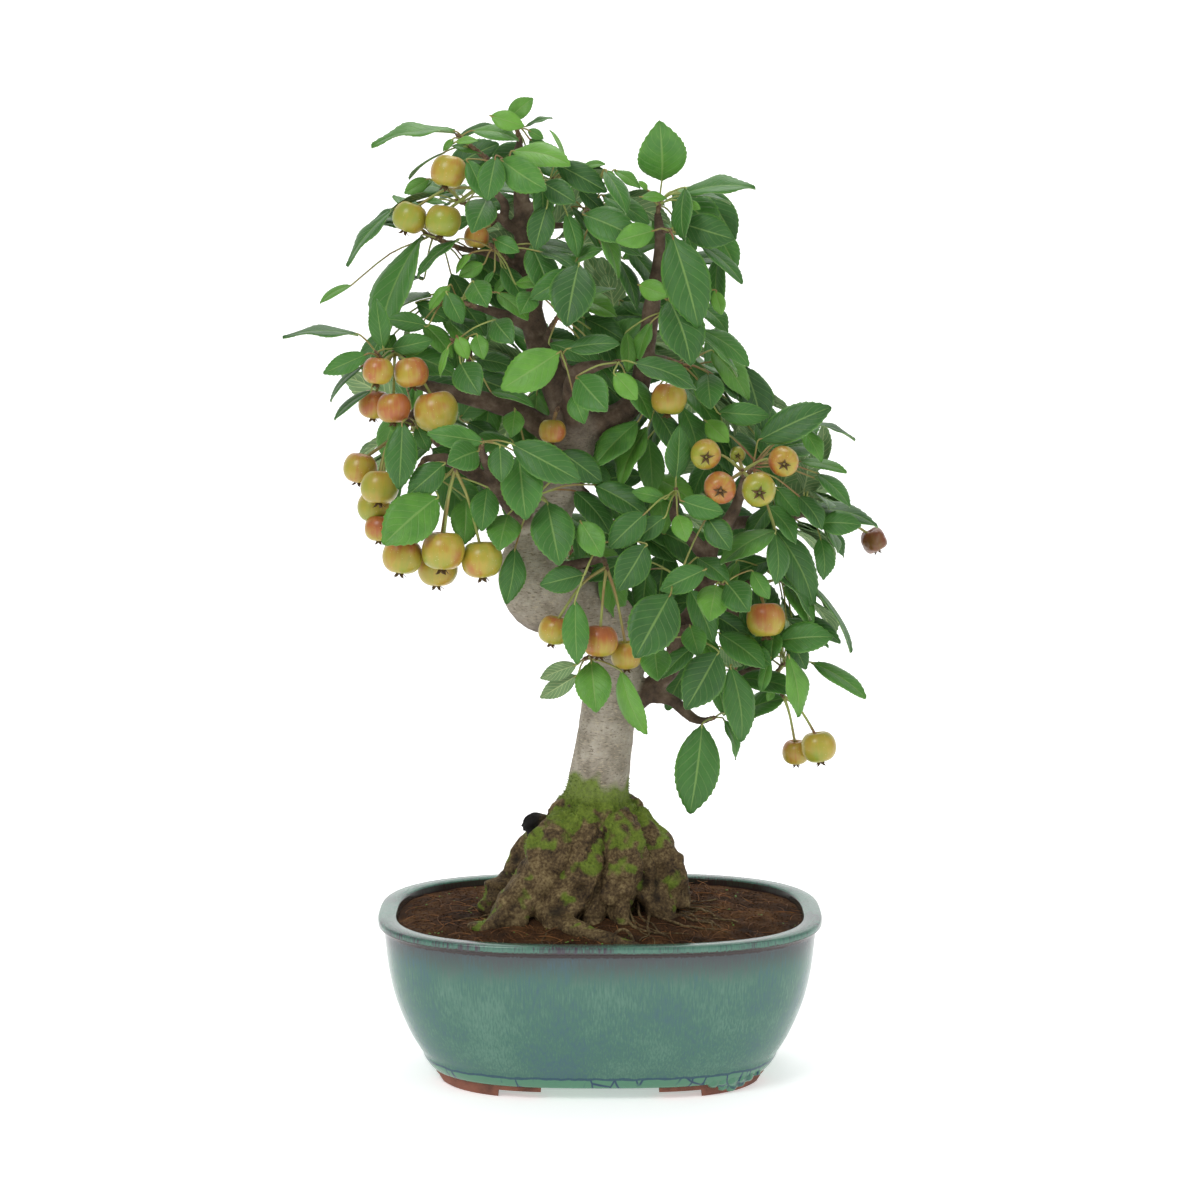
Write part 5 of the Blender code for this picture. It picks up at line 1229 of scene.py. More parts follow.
# a bent fibre one unit long
def fibreShape(tree):
    bend = addNode(tree, "GeometryNodeCurveQuadraticBezier", {"Resolution": 5, "Start": (-0.5, 0, 0.02),
        "Middle": (0, 0.22, 0.12), "End": (0.5, -0.06, 0.0)})
    ring = addNode(tree, "GeometryNodeCurvePrimitiveCircle", {"Resolution": 3,
        "Radius": soil["fibreWidth"] / 2 / soil["fibreLength"]})
    bar = addNode(tree, "GeometryNodeCurveToMesh", {"Curve": bend, "Profile Curve": ring,
        "Fill Caps": True})
    return bar


# a pointed moss shoot one unit tall
def mossShape(tree):
    cone = addNode(tree, "GeometryNodeMeshCone", {"Vertices": 3, "Radius Top": 0.02, "Radius Bottom": 0.17,
        "Depth": 1.0})
    return cone


def scatter(name, surface, tree, perSquareCm, sizes, tilt, finish, seed):
    piece = newObject(name, surface.data.copy())
    return runTree(piece, tree, {"Per square metre": perSquareCm * 10000.0, "Smallest": sizes[0] * mm,
        "Largest": sizes[1] * mm, "Seed": seed, "Tilt": tilt, "Finish": finish})


def makeSoil():
    finish = makeSoilFinish()
    sides, rings = soil["sides"], soil["rings"]
    edge = oblong(soil["edgeInset"], 0, sides)
    points = []
    for step in range(rings):
        share = 1 - step / rings
        points += [Vector((p.x * share, p.y * share, soilZ(p.x * share, p.y * share))) for p in edge]
    points.append(Vector((0, 0, soilZ(0, 0))))
    faces = loftFaces(rings, sides, closed=False)
    last = (rings - 1) * sides
    faces += [(last + k, last + (k + 1) % sides, last + sides) for k in range(sides)]
    top = meshPiece("soilTop", points, faces, [finish])
    cover = []
    for p in points:
        near = math.hypot(p.x, p.y * 1.3)
        cover.append(ease(near, 30, 46) * (1 - ease(soilShare(p.x, p.y), 0.94, 1)))
    addAttribute(top, "cover", cover)
    crumbs = scatter("soilCrumbs", top, makeScatterTree("soilCrumbs", crumbShape),
        soil["crumbsPerSquareCm"], soil["crumbSize"], 0.6, finish, soil["seed"])
    length = soil["fibreLength"]
    fibres = scatter("soilFibres", top, makeScatterTree("soilFibres", fibreShape),
        soil["fibresPerSquareCm"], (length * 0.3, length), 0.16, makeFibreFinish(), soil["seed"] + 1)
    patchy = [c * ease(noise.noise(Vector((p.x, p.y, 40)) / 14), 0.16, 0.4) for c, p in zip(cover, points)]
    top.data.attributes["cover"].data.foreach_set("value", patchy)
    sprouts = scatter("soilSeedlings", top, makeScatterTree("soilSeedlings", crumbShape),
        soil["sproutsPerSquareCm"], soil["sproutSize"], 0.5, makeSproutFinish(), soil["seed"] + 2)
    # the body below the surface, down to the pot's floor
    count = len(points)
    wall = [(inset + soil["wallGap"], z) for inset, z in pot["inside"]]
    wall[-1] = (wall[-1][0], soil["floorZ"])
    for inset, z in wall:
        points += oblong(inset, z, sides)
    under = []
    for k in range(sides):
        under.append((count + k, count + (k + 1) % sides, (k + 1) % sides, k))
        for ring in range(len(wall) - 1):
            a, b = count + ring * sides + k, count + ring * sides + (k + 1) % sides
            under.append((a + sides, b + sides, b, a))
    under.append(tuple(count + (len(wall) - 1) * sides + k for k in reversed(range(sides))))
    body = meshPiece("soilBody", points, faces + under, [finish])
    bpy.data.objects.remove(top)
    for piece in (body, crumbs, fibres, sprouts):
        finishPiece(piece, "soil", "soil")
    print("soil made")


makeSoil()

# Wood
wood = {
    "voxel": 1.32, "sides": 18, "barkSize": 9, "barkDepth": 0.45, "rootDepth": 4.2, "rootGrain": 7,
    "paleTo": 372, "greenFrom": 150, "greenTo": 178, "rootTop": 162,
    "mossPerSquareCm": 60, "mossSize": (0.7, 1.7), "rootlets": 26, "seed": 11,
    # swellings of the old root base: x, y, z, radius
    "knobs": [[(-16, -14, 150, 9), (-26, -20, 136, 13), (-30, -22, 120, 13), (-30, -22, 104, 10)],
        [(8, -16, 150, 8), (14, -22, 136, 11), (12, -26, 120, 10), (6, -30, 104, 7)],
        [(18, -4, 148, 8), (32, -8, 130, 9), (42, -10, 114, 8), (46, -12, 98, 7)],
        [(-30, -2, 140, 8), (-44, -4, 122, 8), (-56, -8, 108, 7), (-66, -14, 94, 5)],
        [(-8, -20, 142, 8), (-8, -28, 126, 8), (-6, -30, 108, 6)]],
}
# the near-black of the root hollows is painted shade
barkLook = {"pale": "#a59d8e", "paleDark": "#7f7768", "branch": "#5a4a3c", "branchDark": "#362b22",
    "lenticel": "#c0b298", "root": "#5b4a30", "rootDark": "#261b12", "rootLight": "#94825a",
    "green": "#86a033", "moss": "#66802b", "mossDark": "#2f3a16", "char": "#141211", "lenticelWidth": 2.6,
    "paleLight": "#c3bbad", "pit": "#6d6353", "branchLight": "#8a7a68", "hollowShade": "#120d08",
    "mossLight": "#96a544",}


def rootPath(direction, reach, radius):
    way = Vector((math.cos(math.radians(direction)), math.sin(math.radians(direction)), 0))
    rows = []
    for along, height, share in ((0.14, rootStartZ, 1.2), (0.5, 116, 0.95), (0.8, 97, 0.6),
            (1.0, 88, 0.34)):
        spot = way * reach * along
        rows.append((spot.x, spot.y, height, radius * share))
    return rows


def worldPath(rows, steps):
    return [(Vector((x, y, z)), r) for x, y, z, r in smoothRows(rows, steps)]


def smoothPath(path, steps):
    return worldPath([(*p, r) for p, r in path], steps)


# Smooth grey crabapple bark with corky dashes; brown on young wood; rough, dark and mossy on the roots;
# painted shade in the roots' hollows and on the trunk's undersides
def makeBark():
    finish, tree, shader, place = startFinish("crabapple bark, grown", 0.8, 0.3)
    pale, rooty, green, char, hollowShade = [addNode(tree, "Attribute", attribute_name=name).outputs["Fac"]
        for name in ("pale", "rooty", "green", "char", "hollowShade")]
    cloud = addNode(tree, "TexNoise", {"Vector": place, "Scale": 95, "Detail": 6, "Roughness": 0.66})
    fine = addNode(tree, "TexNoise", {"Vector": place, "Scale": 620, "Detail": 4, "Roughness": 0.6})
    flat = addNode(tree, "VectorMath", {0: place, 1: (1, 1, 3.4)}, operation="MULTIPLY")
    dashes = addNode(tree, "TexNoise", {"Vector": flat, "Detail": 2,
        "Scale": 1 / (barkLook["lenticelWidth"] * mm)})
    dashMask = addNode(tree, "MapRange", {"Value": dashes, "From Min": 0.59, "From Max": 0.65,
        "To Max": 0.6})
    pitMask = addNode(tree, "MapRange", {"Value": dashes, "From Min": 0.4, "From Max": 0.34, "To Max": 0.8})
    paleBark = addNode(tree, "ValToRGB", {"Fac": cloud}, [(0.3, barkLook["paleDark"]),
        (0.55, barkLook["pale"]), (0.8, barkLook["paleLight"])])
    paleBark = layCoats(tree, paleBark, (dashMask, barkLook["lenticel"]), (pitMask, barkLook["pit"]))
    young = addNode(tree, "ValToRGB", {"Fac": cloud}, [(0.3, barkLook["branchDark"]),
        (0.5, barkLook["branch"]), (0.8, barkLook["branchLight"])])
    halfCloud = addNode(tree, "Math", {0: cloud, 1: 0.5}, operation="MULTIPLY")
    speckle = addNode(tree, "Math", {0: fine, 1: 0.5, 2: halfCloud}, operation="MULTIPLY_ADD")
    rootBark = addNode(tree, "ValToRGB", {"Fac": speckle}, [(0.36, barkLook["rootDark"]),
        (0.5, barkLook["root"]), (0.66, barkLook["rootLight"])])
    # painted shade, near black, in the hollows of the root relief
    rootBark = layCoats(tree, rootBark, (hollowShade, barkLook["hollowShade"]))
    greenEdge = addNode(tree, "Math", {0: green, 1: cloud}, operation="ADD")
    greenMask = addNode(tree, "MapRange", {"Value": greenEdge, "From Min": 0.78, "From Max": 1.25,
        "To Max": 0.9})
    algae = layCoats(tree, colour(barkLook["mossDark"]), (fine, barkLook["green"]))
    # where the pale share drops on the trunk's undersides, the dark young bark shows as painted shade
    shade = layCoats(tree, young, (pale, paleBark), (rooty, rootBark), (greenMask, algae),
        (char, barkLook["char"]))
    rough = addNode(tree, "Math", {0: cloud, 1: fine}, operation="ADD")
    bump = addNode(tree, "Bump", {"Height": rough, "Strength": 0.55, "Distance": 0.0011})
    wire(shader, {"Base Color": shade, "Normal": bump})
    return finish


# Cushion moss: soft yellow-green shoots, darker below
def makeMoss():
    return driftingFinish("cushion moss", 0.9, 160, 3, [(0.3, barkLook["mossDark"]),
        (0.5, barkLook["moss"]), (0.75, barkLook["mossLight"])])


bark = makeBark()


def woodPaths():
    base = [(0, 4, 84, 36)] + [(*p, r) for p, r in coarseLimbs["trunk"][:4]]
    paths = [worldPath(base, 4)]
    paths += [limbPath(rows, 5) for rows in limbs.values()]
    paths += [limbPath(deadStub, 4), limbPath(hangingTwig, 4)]
    paths += [worldPath(rootPath(*row), 5) for row in roots]
    paths += [worldPath(frontRoot, 5), worldPath(sideRoot, 5)]
    paths += [worldPath(rows, 4) for rows in wood["knobs"]]
    paths += [smoothPath(path, 3) for path in twigs.values()]
    return paths


# thin roots that wander over the soil from the root base
def rootletPaths():
    draw = random.Random(wood["seed"])
    paths = []
    for number in range(wood["rootlets"]):
        angle = math.radians(draw.uniform(-75, 25) if number % 3 else draw.uniform(0, 360))
        spot = Vector((math.cos(angle) * 27, math.sin(angle) * 22, 0))
        way, radius = angle, draw.uniform(0.55, 1.5)
        path = []
        steps = draw.randint(9, 18)
        for step in range(steps):
            drop = max(0, 1 - step / 5)
            z = soilZ(spot.x, spot.y) + radius * 0.5 + drop * drop * draw.uniform(14, 22)
            if soilShare(spot.x, spot.y) > 0.93:
                break
            path.append((Vector((spot.x, spot.y, z)), radius * (1 - 0.75 * step / steps)))
            way += draw.uniform(-0.42, 0.42)
            spot += Vector((math.cos(way), math.sin(way), 0)) * draw.uniform(3, 5)
        if len(path) > 3:
            paths.append(smoothPath(path, 2))
    loop = []
    for step in range(13):
        turn = math.pi * step / 12
        loop.append((Vector((12.5 - 6.5 * math.cos(turn), -66 + 2 * math.sin(turn),
            87 + 11 * math.sin(turn))), 0.9))
    return paths + [loop]


def makeWood():
    piece = stalks("wood", woodPaths(), wood["sides"], bark)
    remesh = piece.modifiers.new("grown together", "REMESH")
    remesh.mode, remesh.voxel_size = "VOXEL", wood["voxel"] * mm
    applyModifiers(piece)
    smooth = piece.modifiers.new("soft joints", "SMOOTH")
    smooth.factor, smooth.iterations = 0.5, 4
    applyModifiers(piece)
    trunk = [(p, r) for p, r in limbPath(limbs["trunk"], 3)]
    stub = limbPath(deadStub, 2)
    noise.seed_set(wood["seed"])  # the vector noise takes its offsets from this seed
    pale, rooty, green, char, hollowShade = [], [], [], [], []
    spots = [(vertex.co / mm, vertex.normal.copy()) for vertex in piece.data.vertices]
    moved = []
    for p, n in spots:
        near, radius = min((((p - q).length - r, r) for q, r in trunk), key=lambda row: row[0])
        onTrunk = 1 - ease(near, 0.5, 4)
        ragged = noise.noise(p / 9) * 9
        root = 1 - ease(p.z + ragged, wood["rootTop"] - 7, wood["rootTop"] + 3)
        wide = 1 - ease(p.z, wood["paleTo"] - 60, wood["paleTo"] + 30)
        # less pale bark on faces that turn down, so the dark bark shows there: painted shade on the
        # undersides
        pale.append(onTrunk * wide * (1 - 0.6 * ease(-n.z, 0.35, 0.9)))
        rooty.append(root)
        band = ease(p.z + ragged, wood["greenFrom"] - 4, wood["greenFrom"] + 4)
        band *= 1 - ease(p.z + ragged * 1.5, wood["greenTo"] - 16, wood["greenTo"] + 6)
        patch = noise.noise(p / 12 + Vector((5, 0, 0))) + 0.5 * noise.noise(p / 4) + 0.3 * n.z
        mossy = ease(patch + 0.45 * ease(p.z, 100, 150) - 0.2, 0.05, 0.75) * root
        burnt = min((p - q).length - r for q, r in stub)
        char.append((1 - ease(burnt, 0.6, 2.5)) * ease(-p.x, 30, 36))
        green.append(max(band * onTrunk, mossy) * (1 - char[-1]))
        bumps = noise.noise(p / wood["barkSize"]) * wood["barkDepth"] + noise.noise(p / 2.6) * 0.18
        turn = math.atan2(p.y, p.x)
        grain = Vector((math.cos(turn) * 3.4, math.sin(turn) * 3.4, p.z / 26))
        ridges = 1 - 2.4 * abs(noise.noise(grain + noise.noise_vector(p / 22) * 0.7))
        knots = noise.noise(p / wood["rootGrain"])
        strength = root * ease(p.z, 88, 104) * ease(radius + near, 3, 9)
        relief = 0.6 * ridges + 0.6 * knots
        # painted shade, near black, where the root relief sinks in
        hollowShade.append(ease(-relief, 0.05, 0.55) * strength * 0.85)
        splinter = char[-1] * noise.noise(Vector((p.x / 7, p.y / 1.8, p.z / 1.8))) * 2.5
        moved.extend((p + n * (bumps + splinter + strength * wood["rootDepth"] * relief)) * mm)
    piece.data.vertices.foreach_set("co", moved)
    for name, values in (("pale", pale), ("rooty", rooty), ("green", green), ("char", char), ("hollowShade",
            hollowShade), ("cover", [max(0, g - 0.35) for g in green])):
        addAttribute(piece, name, values)
    piece.data.shade_smooth()
    moss = scatter("moss", piece, makeScatterTree("moss", mossShape), wood["mossPerSquareCm"],
        wood["mossSize"], 0.5, makeMoss(), wood["seed"])
    rootlets = stalks("rootlets", rootletPaths(), 7, bark)
    addAttribute(rootlets, "rooty", [1.0] * len(rootlets.data.vertices))
    piece.data.attributes.remove(piece.data.attributes["cover"])
    for part in (piece, moss, rootlets):
        finishPiece(part, "bark", "trunk")
    print("wood made:", len(piece.data.polygons), "faces")


makeWood()

# Leaves
blade = {"outline": [(0, 0.05), (0.05, 0.27), (0.14, 0.58), (0.28, 0.87), (0.44, 1), (0.58, 0.97),
    (0.72, 0.81), (0.84, 0.54), (0.93, 0.27), (1, 0.012)], "across": [-1, -0.72, -0.4, -0.12, 0, 0.12, 0.4,
    0.72, 1], "rows": 26, "shapes": 9, "teeth": 0.02, "ratio": 0.52, "thickness": 0.014,
    "rimThickness": 0.007, "midrib": 0.006, "veins": 7, "veinLift": 0.004, "petioleRadius": (0.62, 0.5),
    "bow": 0.07, "shootRadius": 1.5, "seed": 3, "toneSeed": 21,}
leafLook = {"deep": "#2c5425", "mid": "#43792d", "fresh": "#6ea63c", "vein": "#84a758", "under": "#86a172",
    "underVein": "#b5c98f", "petiole": "#9aa457", "petioleRed": "#8a5a3c", "spur": "#5a4330",
    "spurLight": "#8a7458", "netSize": 1.1, "underDark": "#6f9160",}


# the vein pattern from the leaf's own map: U across, V along; 1 on a vein
def addVeins(tree):
    place = addNode(tree, "UVMap", uv_map="leaf")
    uv = addNode(tree, "SeparateXYZ", {"Vector": place}).outputs
    out = addNode(tree, "Math", {0: uv["X"], 1: 0.5}, operation="SUBTRACT")
    away = addNode(tree, "Math", {0: out}, operation="ABSOLUTE")
    slant = addNode(tree, "Math", {0: away, 1: -0.62, 2: uv["Y"]}, operation="MULTIPLY_ADD")
    phase = addNode(tree, "Math", {0: slant, 1: blade["veins"] + 1.0}, operation="MULTIPLY")
    near = addNode(tree, "Math", {0: phase, 1: 0.5}, operation="PINGPONG")
    side = addNode(tree, "MapRange", {"Value": near, "From Min": 0.02, "From Max": 0.1, "To Min": 1,
        "To Max": 0}, interpolation_type="SMOOTHSTEP")
    rib = addNode(tree, "MapRange", {"Value": away, "From Min": 0.01, "From Max": 0.035, "To Min": 1,
        "To Max": 0}, interpolation_type="SMOOTHSTEP")
    veins = addNode(tree, "Math", {0: side, 1: rib}, operation="MAXIMUM")
    rim = addNode(tree, "MapRange", {"Value": away, "From Min": 0.44, "From Max": 0.5})
    return veins, rib, rim


# Crabapple leaf, upper side: deep green and a little waxy, paler along its sunken veins
def makeLeafTop():
    finish, tree, shader, place = startFinish("crabapple leaf, waxy upper side", 0.42, 0.42)
    tone = addNode(tree, "Attribute", attribute_name="leafTone").outputs["Fac"]
    cloud = addNode(tree, "TexNoise", {"Vector": place, "Scale": 110, "Detail": 4, "Roughness": 0.6})
    mixed = addNode(tree, "Math", {0: cloud, 1: 0.5, 2: tone}, operation="MULTIPLY_ADD")
    share = addNode(tree, "MapRange", {"Value": mixed, "From Min": 0.15, "From Max": 1.2})
    shade = addNode(tree, "ValToRGB", {"Fac": share}, [(0, leafLook["deep"]), (0.55, leafLook["mid"]),
        (1, leafLook["fresh"])])
    veins, rib, rim = addVeins(tree)
    net = addNode(tree, "TexVoronoi", {"Vector": place, "Scale": 1 / (leafLook["netSize"] * mm)},
        feature="DISTANCE_TO_EDGE")
    ribShare = addNode(tree, "Math", {0: rib, 1: 0.4}, operation="MULTIPLY")
    veinShare = addNode(tree, "Math", {0: veins, 1: 0.2, 2: ribShare}, operation="MULTIPLY_ADD")
    rimShare = addNode(tree, "Math", {0: rim, 1: 0.5}, operation="MULTIPLY")
    shade = layCoats(tree, shade, (veinShare, leafLook["vein"]), (rimShare, leafLook["fresh"]))
    netDepth = addNode(tree, "Math", {0: net, 1: 0.8}, operation="MULTIPLY")
    relief = addNode(tree, "Math", {0: veins, 1: -1.0, 2: netDepth}, operation="MULTIPLY_ADD")
    bump = addNode(tree, "Bump", {"Height": relief, "Strength": 0.45, "Distance": 0.0005})
    wire(shader, {"Base Color": shade, "Normal": bump})
    return finish


# Crabapple leaf, underside: pale grey-green, matt with fine down, its veins raised
def makeLeafUnder():
    finish, tree, shader, place = startFinish("crabapple leaf, downy underside", 0.8, 0.25)
    cloud = addNode(tree, "TexNoise", {"Vector": place, "Scale": 110, "Detail": 3})
    shade = addNode(tree, "ValToRGB", {"Fac": cloud}, [(0.3, leafLook["underDark"]),
        (0.7, leafLook["under"])])
    veins, rib, rim = addVeins(tree)
    bump = addNode(tree, "Bump", {"Height": veins, "Strength": 0.5, "Distance": 0.0005})
    wire(shader, {"Base Color": layCoats(tree, shade, (veins, leafLook["underVein"])), "Normal": bump})
    return finish


# Green stalk, flushed red in places: smooth and soft
def makeStalkFinish():
    return driftingFinish("green stalk, flushed red", 0.5, 45, 2, [(0.45, leafLook["petiole"]),
        (0.68, leafLook["petioleRed"])])


# Spur shoot: grey-brown, ringed with old bud scars
def makeSpurFinish():
    return driftingFinish("spur shoot bark", 0.85, 700, 3, [(0.35, leafLook["spur"]),
        (0.68, leafLook["spurLight"])], (0.5, 0.4))


# a shape for copying: its flat map follows the number of a point; the last faces take the second finish
def keepShape(home, name, points, faces, map2d, firstCount, turnOut=False):
    mesh = bpy.data.meshes.new(name)
    mesh.from_pydata([tuple(p) for p in points], [], faces)
    if turnOut:
        bm = bmesh.new()
        bm.from_mesh(mesh)
        bmesh.ops.recalc_face_normals(bm, faces=bm.faces)
        bm.to_mesh(mesh)
        bm.free()
    layer = mesh.uv_layers.new(name="leaf")
    for loop in mesh.loops:
        layer.data[loop.index].uv = map2d(loop.vertex_index)
    second = mesh.attributes.new("second", "FLOAT", "FACE")
    second.data.foreach_set("value", [0.0] * firstCount + [1.0] * (len(faces) - firstCount))
    mesh.shade_smooth()
    home.objects.link(bpy.data.objects.new(name, mesh))


# one blade a unit long and a unit wide, as a closed shell: X across, Y along, Z up from its upper side
def bladeShape(number, home):
    draw = random.Random(blade["seed"] + number)
    twist, droop = draw.uniform(-0.3, 0.3), draw.uniform(0, 0.09)
    waveSize, wavePhase, waves = draw.uniform(0.006, 0.03), draw.uniform(0, 6.28), draw.uniform(1.2, 2.2)
    fold, bend = draw.uniform(0.16, 0.34), draw.uniform(-0.02, 0.02)
    rows, across = blade["rows"], blade["across"]
    smooth = smoothRows(blade["outline"], 6)
    points, lower, map2d = [], [], []
    for i in range(rows + 1):
        v = i / rows
        half = max(0.012, rowAt(smooth, v)) / 2
        tooth = blade["teeth"] * (1 if i % 2 else -0.6) * (0 if i in (0, rows) else 1)
        for u in across:
            reach = u * half * (1 + (tooth if abs(u) == 1 else 0))
            y = v + (0.018 if abs(u) == 1 and i % 2 and i < rows else 0)
            vein = math.cos(math.tau * (v - 0.31 * abs(u)) * (blade["veins"] + 1))
            z = growth["arch"] * 4 * v * (1 - v) + fold * blade["ratio"] * half * abs(u) ** 1.25
            z += waveSize * abs(u) ** 2 * math.sin(wavePhase + waves * math.tau * v + (1.9 if u > 0 else 0))
            z -= droop * max(0, v - 0.55) ** 2 * 4 + abs(u) ** 3 * half * 0.12
            z -= blade["veinLift"] * max(0, vein) * (1 - abs(u)) * (1 if u else 0)
            z -= blade["midrib"] if u == 0 else 0
            lean = twist * v
            spot = Vector((reach * math.cos(lean) + bend * math.sin(math.pi * v), y,
                z + reach * blade["ratio"] * math.sin(lean)))
            points.append(spot)
            thick = blade["thickness"] + (blade["rimThickness"] - blade["thickness"]) * abs(u)
            lower.append(spot - Vector((0, 0, thick + (blade["midrib"] * 1.6 if u == 0 else 0))))
            map2d.append((0.5 + u / 2, v))
    width, count = len(across), len(points)
    faces, under = [], []
    for i in range(rows):
        for k in range(width - 1):
            a = i * width + k
            faces.append((a, a + 1, a + width + 1, a + width))
            under.append((a + count, a + width + count, a + width + 1 + count, a + 1 + count))
    rim = [k for k in range(width)] + [i * width + width - 1 for i in range(1, rows + 1)]
    rim += [rows * width + k for k in range(width - 2, -1, -1)] + [i * width for i in range(rows - 1, 0,
        -1)]
    for a, b in zip(rim, rim[1:] + rim[:1]):
        under.append((b, a, a + count, b + count))
    keepShape(home, "bladeShape%d" % number, points + lower, faces + under, lambda i: map2d[i % count],
        len(faces))


# puts copies of the shapes of a collection on points, which say the shape, its turn and its size
def makeCopyTree():
    tree, given, result = startTree("copies", [("Shapes", "Collection"), ("First finish", "Material"),
        ("Second finish", "Material")])
    shapes = addNode(tree, "GeometryNodeCollectionInfo", {"Collection": given["Shapes"],
        "Separate Children": True, "Reset Children": True})
    pick, turn, size, second = [addNode(tree, "GeometryNodeInputNamedAttribute", {"Name": name},
        data_type=kind) for name, kind in (("pick", "INT"), ("turn", "FLOAT_VECTOR"),
        ("size", "FLOAT_VECTOR"), ("second", "FLOAT"))]
    aim = addNode(tree, "FunctionNodeEulerToRotation", {0: turn})
    spots = addNode(tree, "GeometryNodeMeshToPoints", {"Mesh": given["Geometry"]})
    placed = addNode(tree, "GeometryNodeInstanceOnPoints", {"Points": spots, "Instance": shapes,
        "Pick Instance": True, "Instance Index": pick, "Rotation": aim, "Scale": size})
    whole = addNode(tree, "GeometryNodeRealizeInstances", {"Geometry": placed})
    base = addNode(tree, "GeometryNodeSetMaterial", {"Geometry": whole, "Material": given["First finish"]})
    over = addNode(tree, "FunctionNodeCompare", {0: second, 1: 0.5}, data_type="FLOAT",
        operation="GREATER_THAN")
    coat = addNode(tree, "GeometryNodeSetMaterial", {"Geometry": base, "Selection": over,
        "Material": given["Second finish"]})
    wire(result, {0: coat})
    return tree


copyTree = makeCopyTree()


# each row has its place, frame (side, axis, face), size, shape number and further values by name
def copyShapes(name, rows, shapes, first, second):
    mesh = bpy.data.meshes.new(name)
    mesh.from_pydata([tuple(row["at"] * mm) for row in rows], [], [])
    piece = newObject(name, mesh)
    turns = [t for row in rows for t in Matrix(row["frame"]).transposed().to_euler()]
    mesh.attributes.new("turn", "FLOAT_VECTOR", "POINT").data.foreach_set("vector", turns)
    sizes = [s * mm for row in rows for s in row["size"]]
    mesh.attributes.new("size", "FLOAT_VECTOR", "POINT").data.foreach_set("vector", sizes)
    mesh.attributes.new("pick", "INT", "POINT").data.foreach_set("value", [row["pick"] for row in rows])
    for title in rows[0]["values"]:
        addAttribute(piece, title, [row["values"][title] for row in rows])
    runTree(piece, copyTree, {"Shapes": shapes, "First finish": first, "Second finish": second})
    for title in ("turn", "size", "pick", "second"):
        if title in piece.data.attributes:
            piece.data.attributes.remove(piece.data.attributes[title])
    return piece


def shootPaths(name):
    start, end = shoots[name][0][0], shoots[name][-1][0]
    way = (end - start).normalized()
    steps = max(3, round((end - start).length / 1.3))
    path = [(start - way * 2.2, blade["shootRadius"])]
    for step in range(steps + 1):
        swell = 1.12 if step % 2 else 0.86
        path.append((start + (end - start) * step / steps, blade["shootRadius"] * swell * (1
            - 0.2 * step / steps)))
    path.append((end + way * 1.6, 0.35))
    return [path]


def petiolePath(leaf):
    away = leaf.base - leaf.foot
    side = (leaf.tip - leaf.base).normalized()
    bow = Vector((0, 0, blade["bow"] * away.length))
    thick, thin = blade["petioleRadius"]
    rows = [(*leaf.foot, thick * 1.5), (*(leaf.foot + away * 0.08), thick),
        (*(leaf.foot + away * 0.5 + bow), thin), (*(leaf.base - side * 0.5), thin),
        (*(leaf.base + side * 2.5), thin * 0.8)]
    return worldPath(rows, 3)


def makeLeaves():
    top, under = makeLeafTop(), makeLeafUnder()
    spur = makeSpurFinish()
    home = startHome("bladeShapes")
    for number in range(blade["shapes"]):
        bladeShape(number, home)
    draw = random.Random(blade["toneSeed"])
    for name, found in leaves.items():
        rows = []
        for leaf in found:
            axis = (leaf.tip - leaf.base).normalized()
            face = (leaf.face - axis * leaf.face.dot(axis)).normalized()
            length = (leaf.tip - leaf.base).length
            young = 0.35 if length < 20 else 0
            rows.append({"at": leaf.base, "frame": (axis.cross(face), axis, face), "size": (leaf.width,
                length, length), "pick": draw.randrange(blade["shapes"]), "values": {"leafTone": min(1,
                draw.betavariate(1.8, 3.6) + young)}})
        piece = copyShapes(name + "_leaves", rows, home, top, under)
        bars = stalks(name + "_petioles", [petiolePath(leaf) for leaf in found], 6, stalkFinish)
        joinInto(piece, [bars, stalks(name + "_shoot", shootPaths(name), 8, spur)])
        finishPiece(piece, "leaves", name)
    dropHome(home)
    print("leaves made")


stalkFinish = makeStalkFinish()
makeLeaves()

# Apples
apple = {"profile": [(0.012, -0.29), (0.05, -0.32), (0.12, -0.385), (0.22, -0.425), (0.33, -0.395),
    (0.43, -0.29), (0.485, -0.16), (0.5, -0.03), (0.488, 0.1), (0.45, 0.22), (0.38, 0.32), (0.28, 0.385),
    (0.18, 0.405), (0.1, 0.39), (0.055, 0.36)], "sides": 28, "shapes": 4, "sepals": 5, "seed": 31,
    "rough": 0.03,}
appleLook = {
    "green": "#8f9a34", "yellow": "#b09a3a", "orange": "#ad6636", "red": "#944a32", "dot": "#c9bd86",
    "withered": "#5f3020", "calyx": "#5a4526", "dotSpacing": 2.1,
}


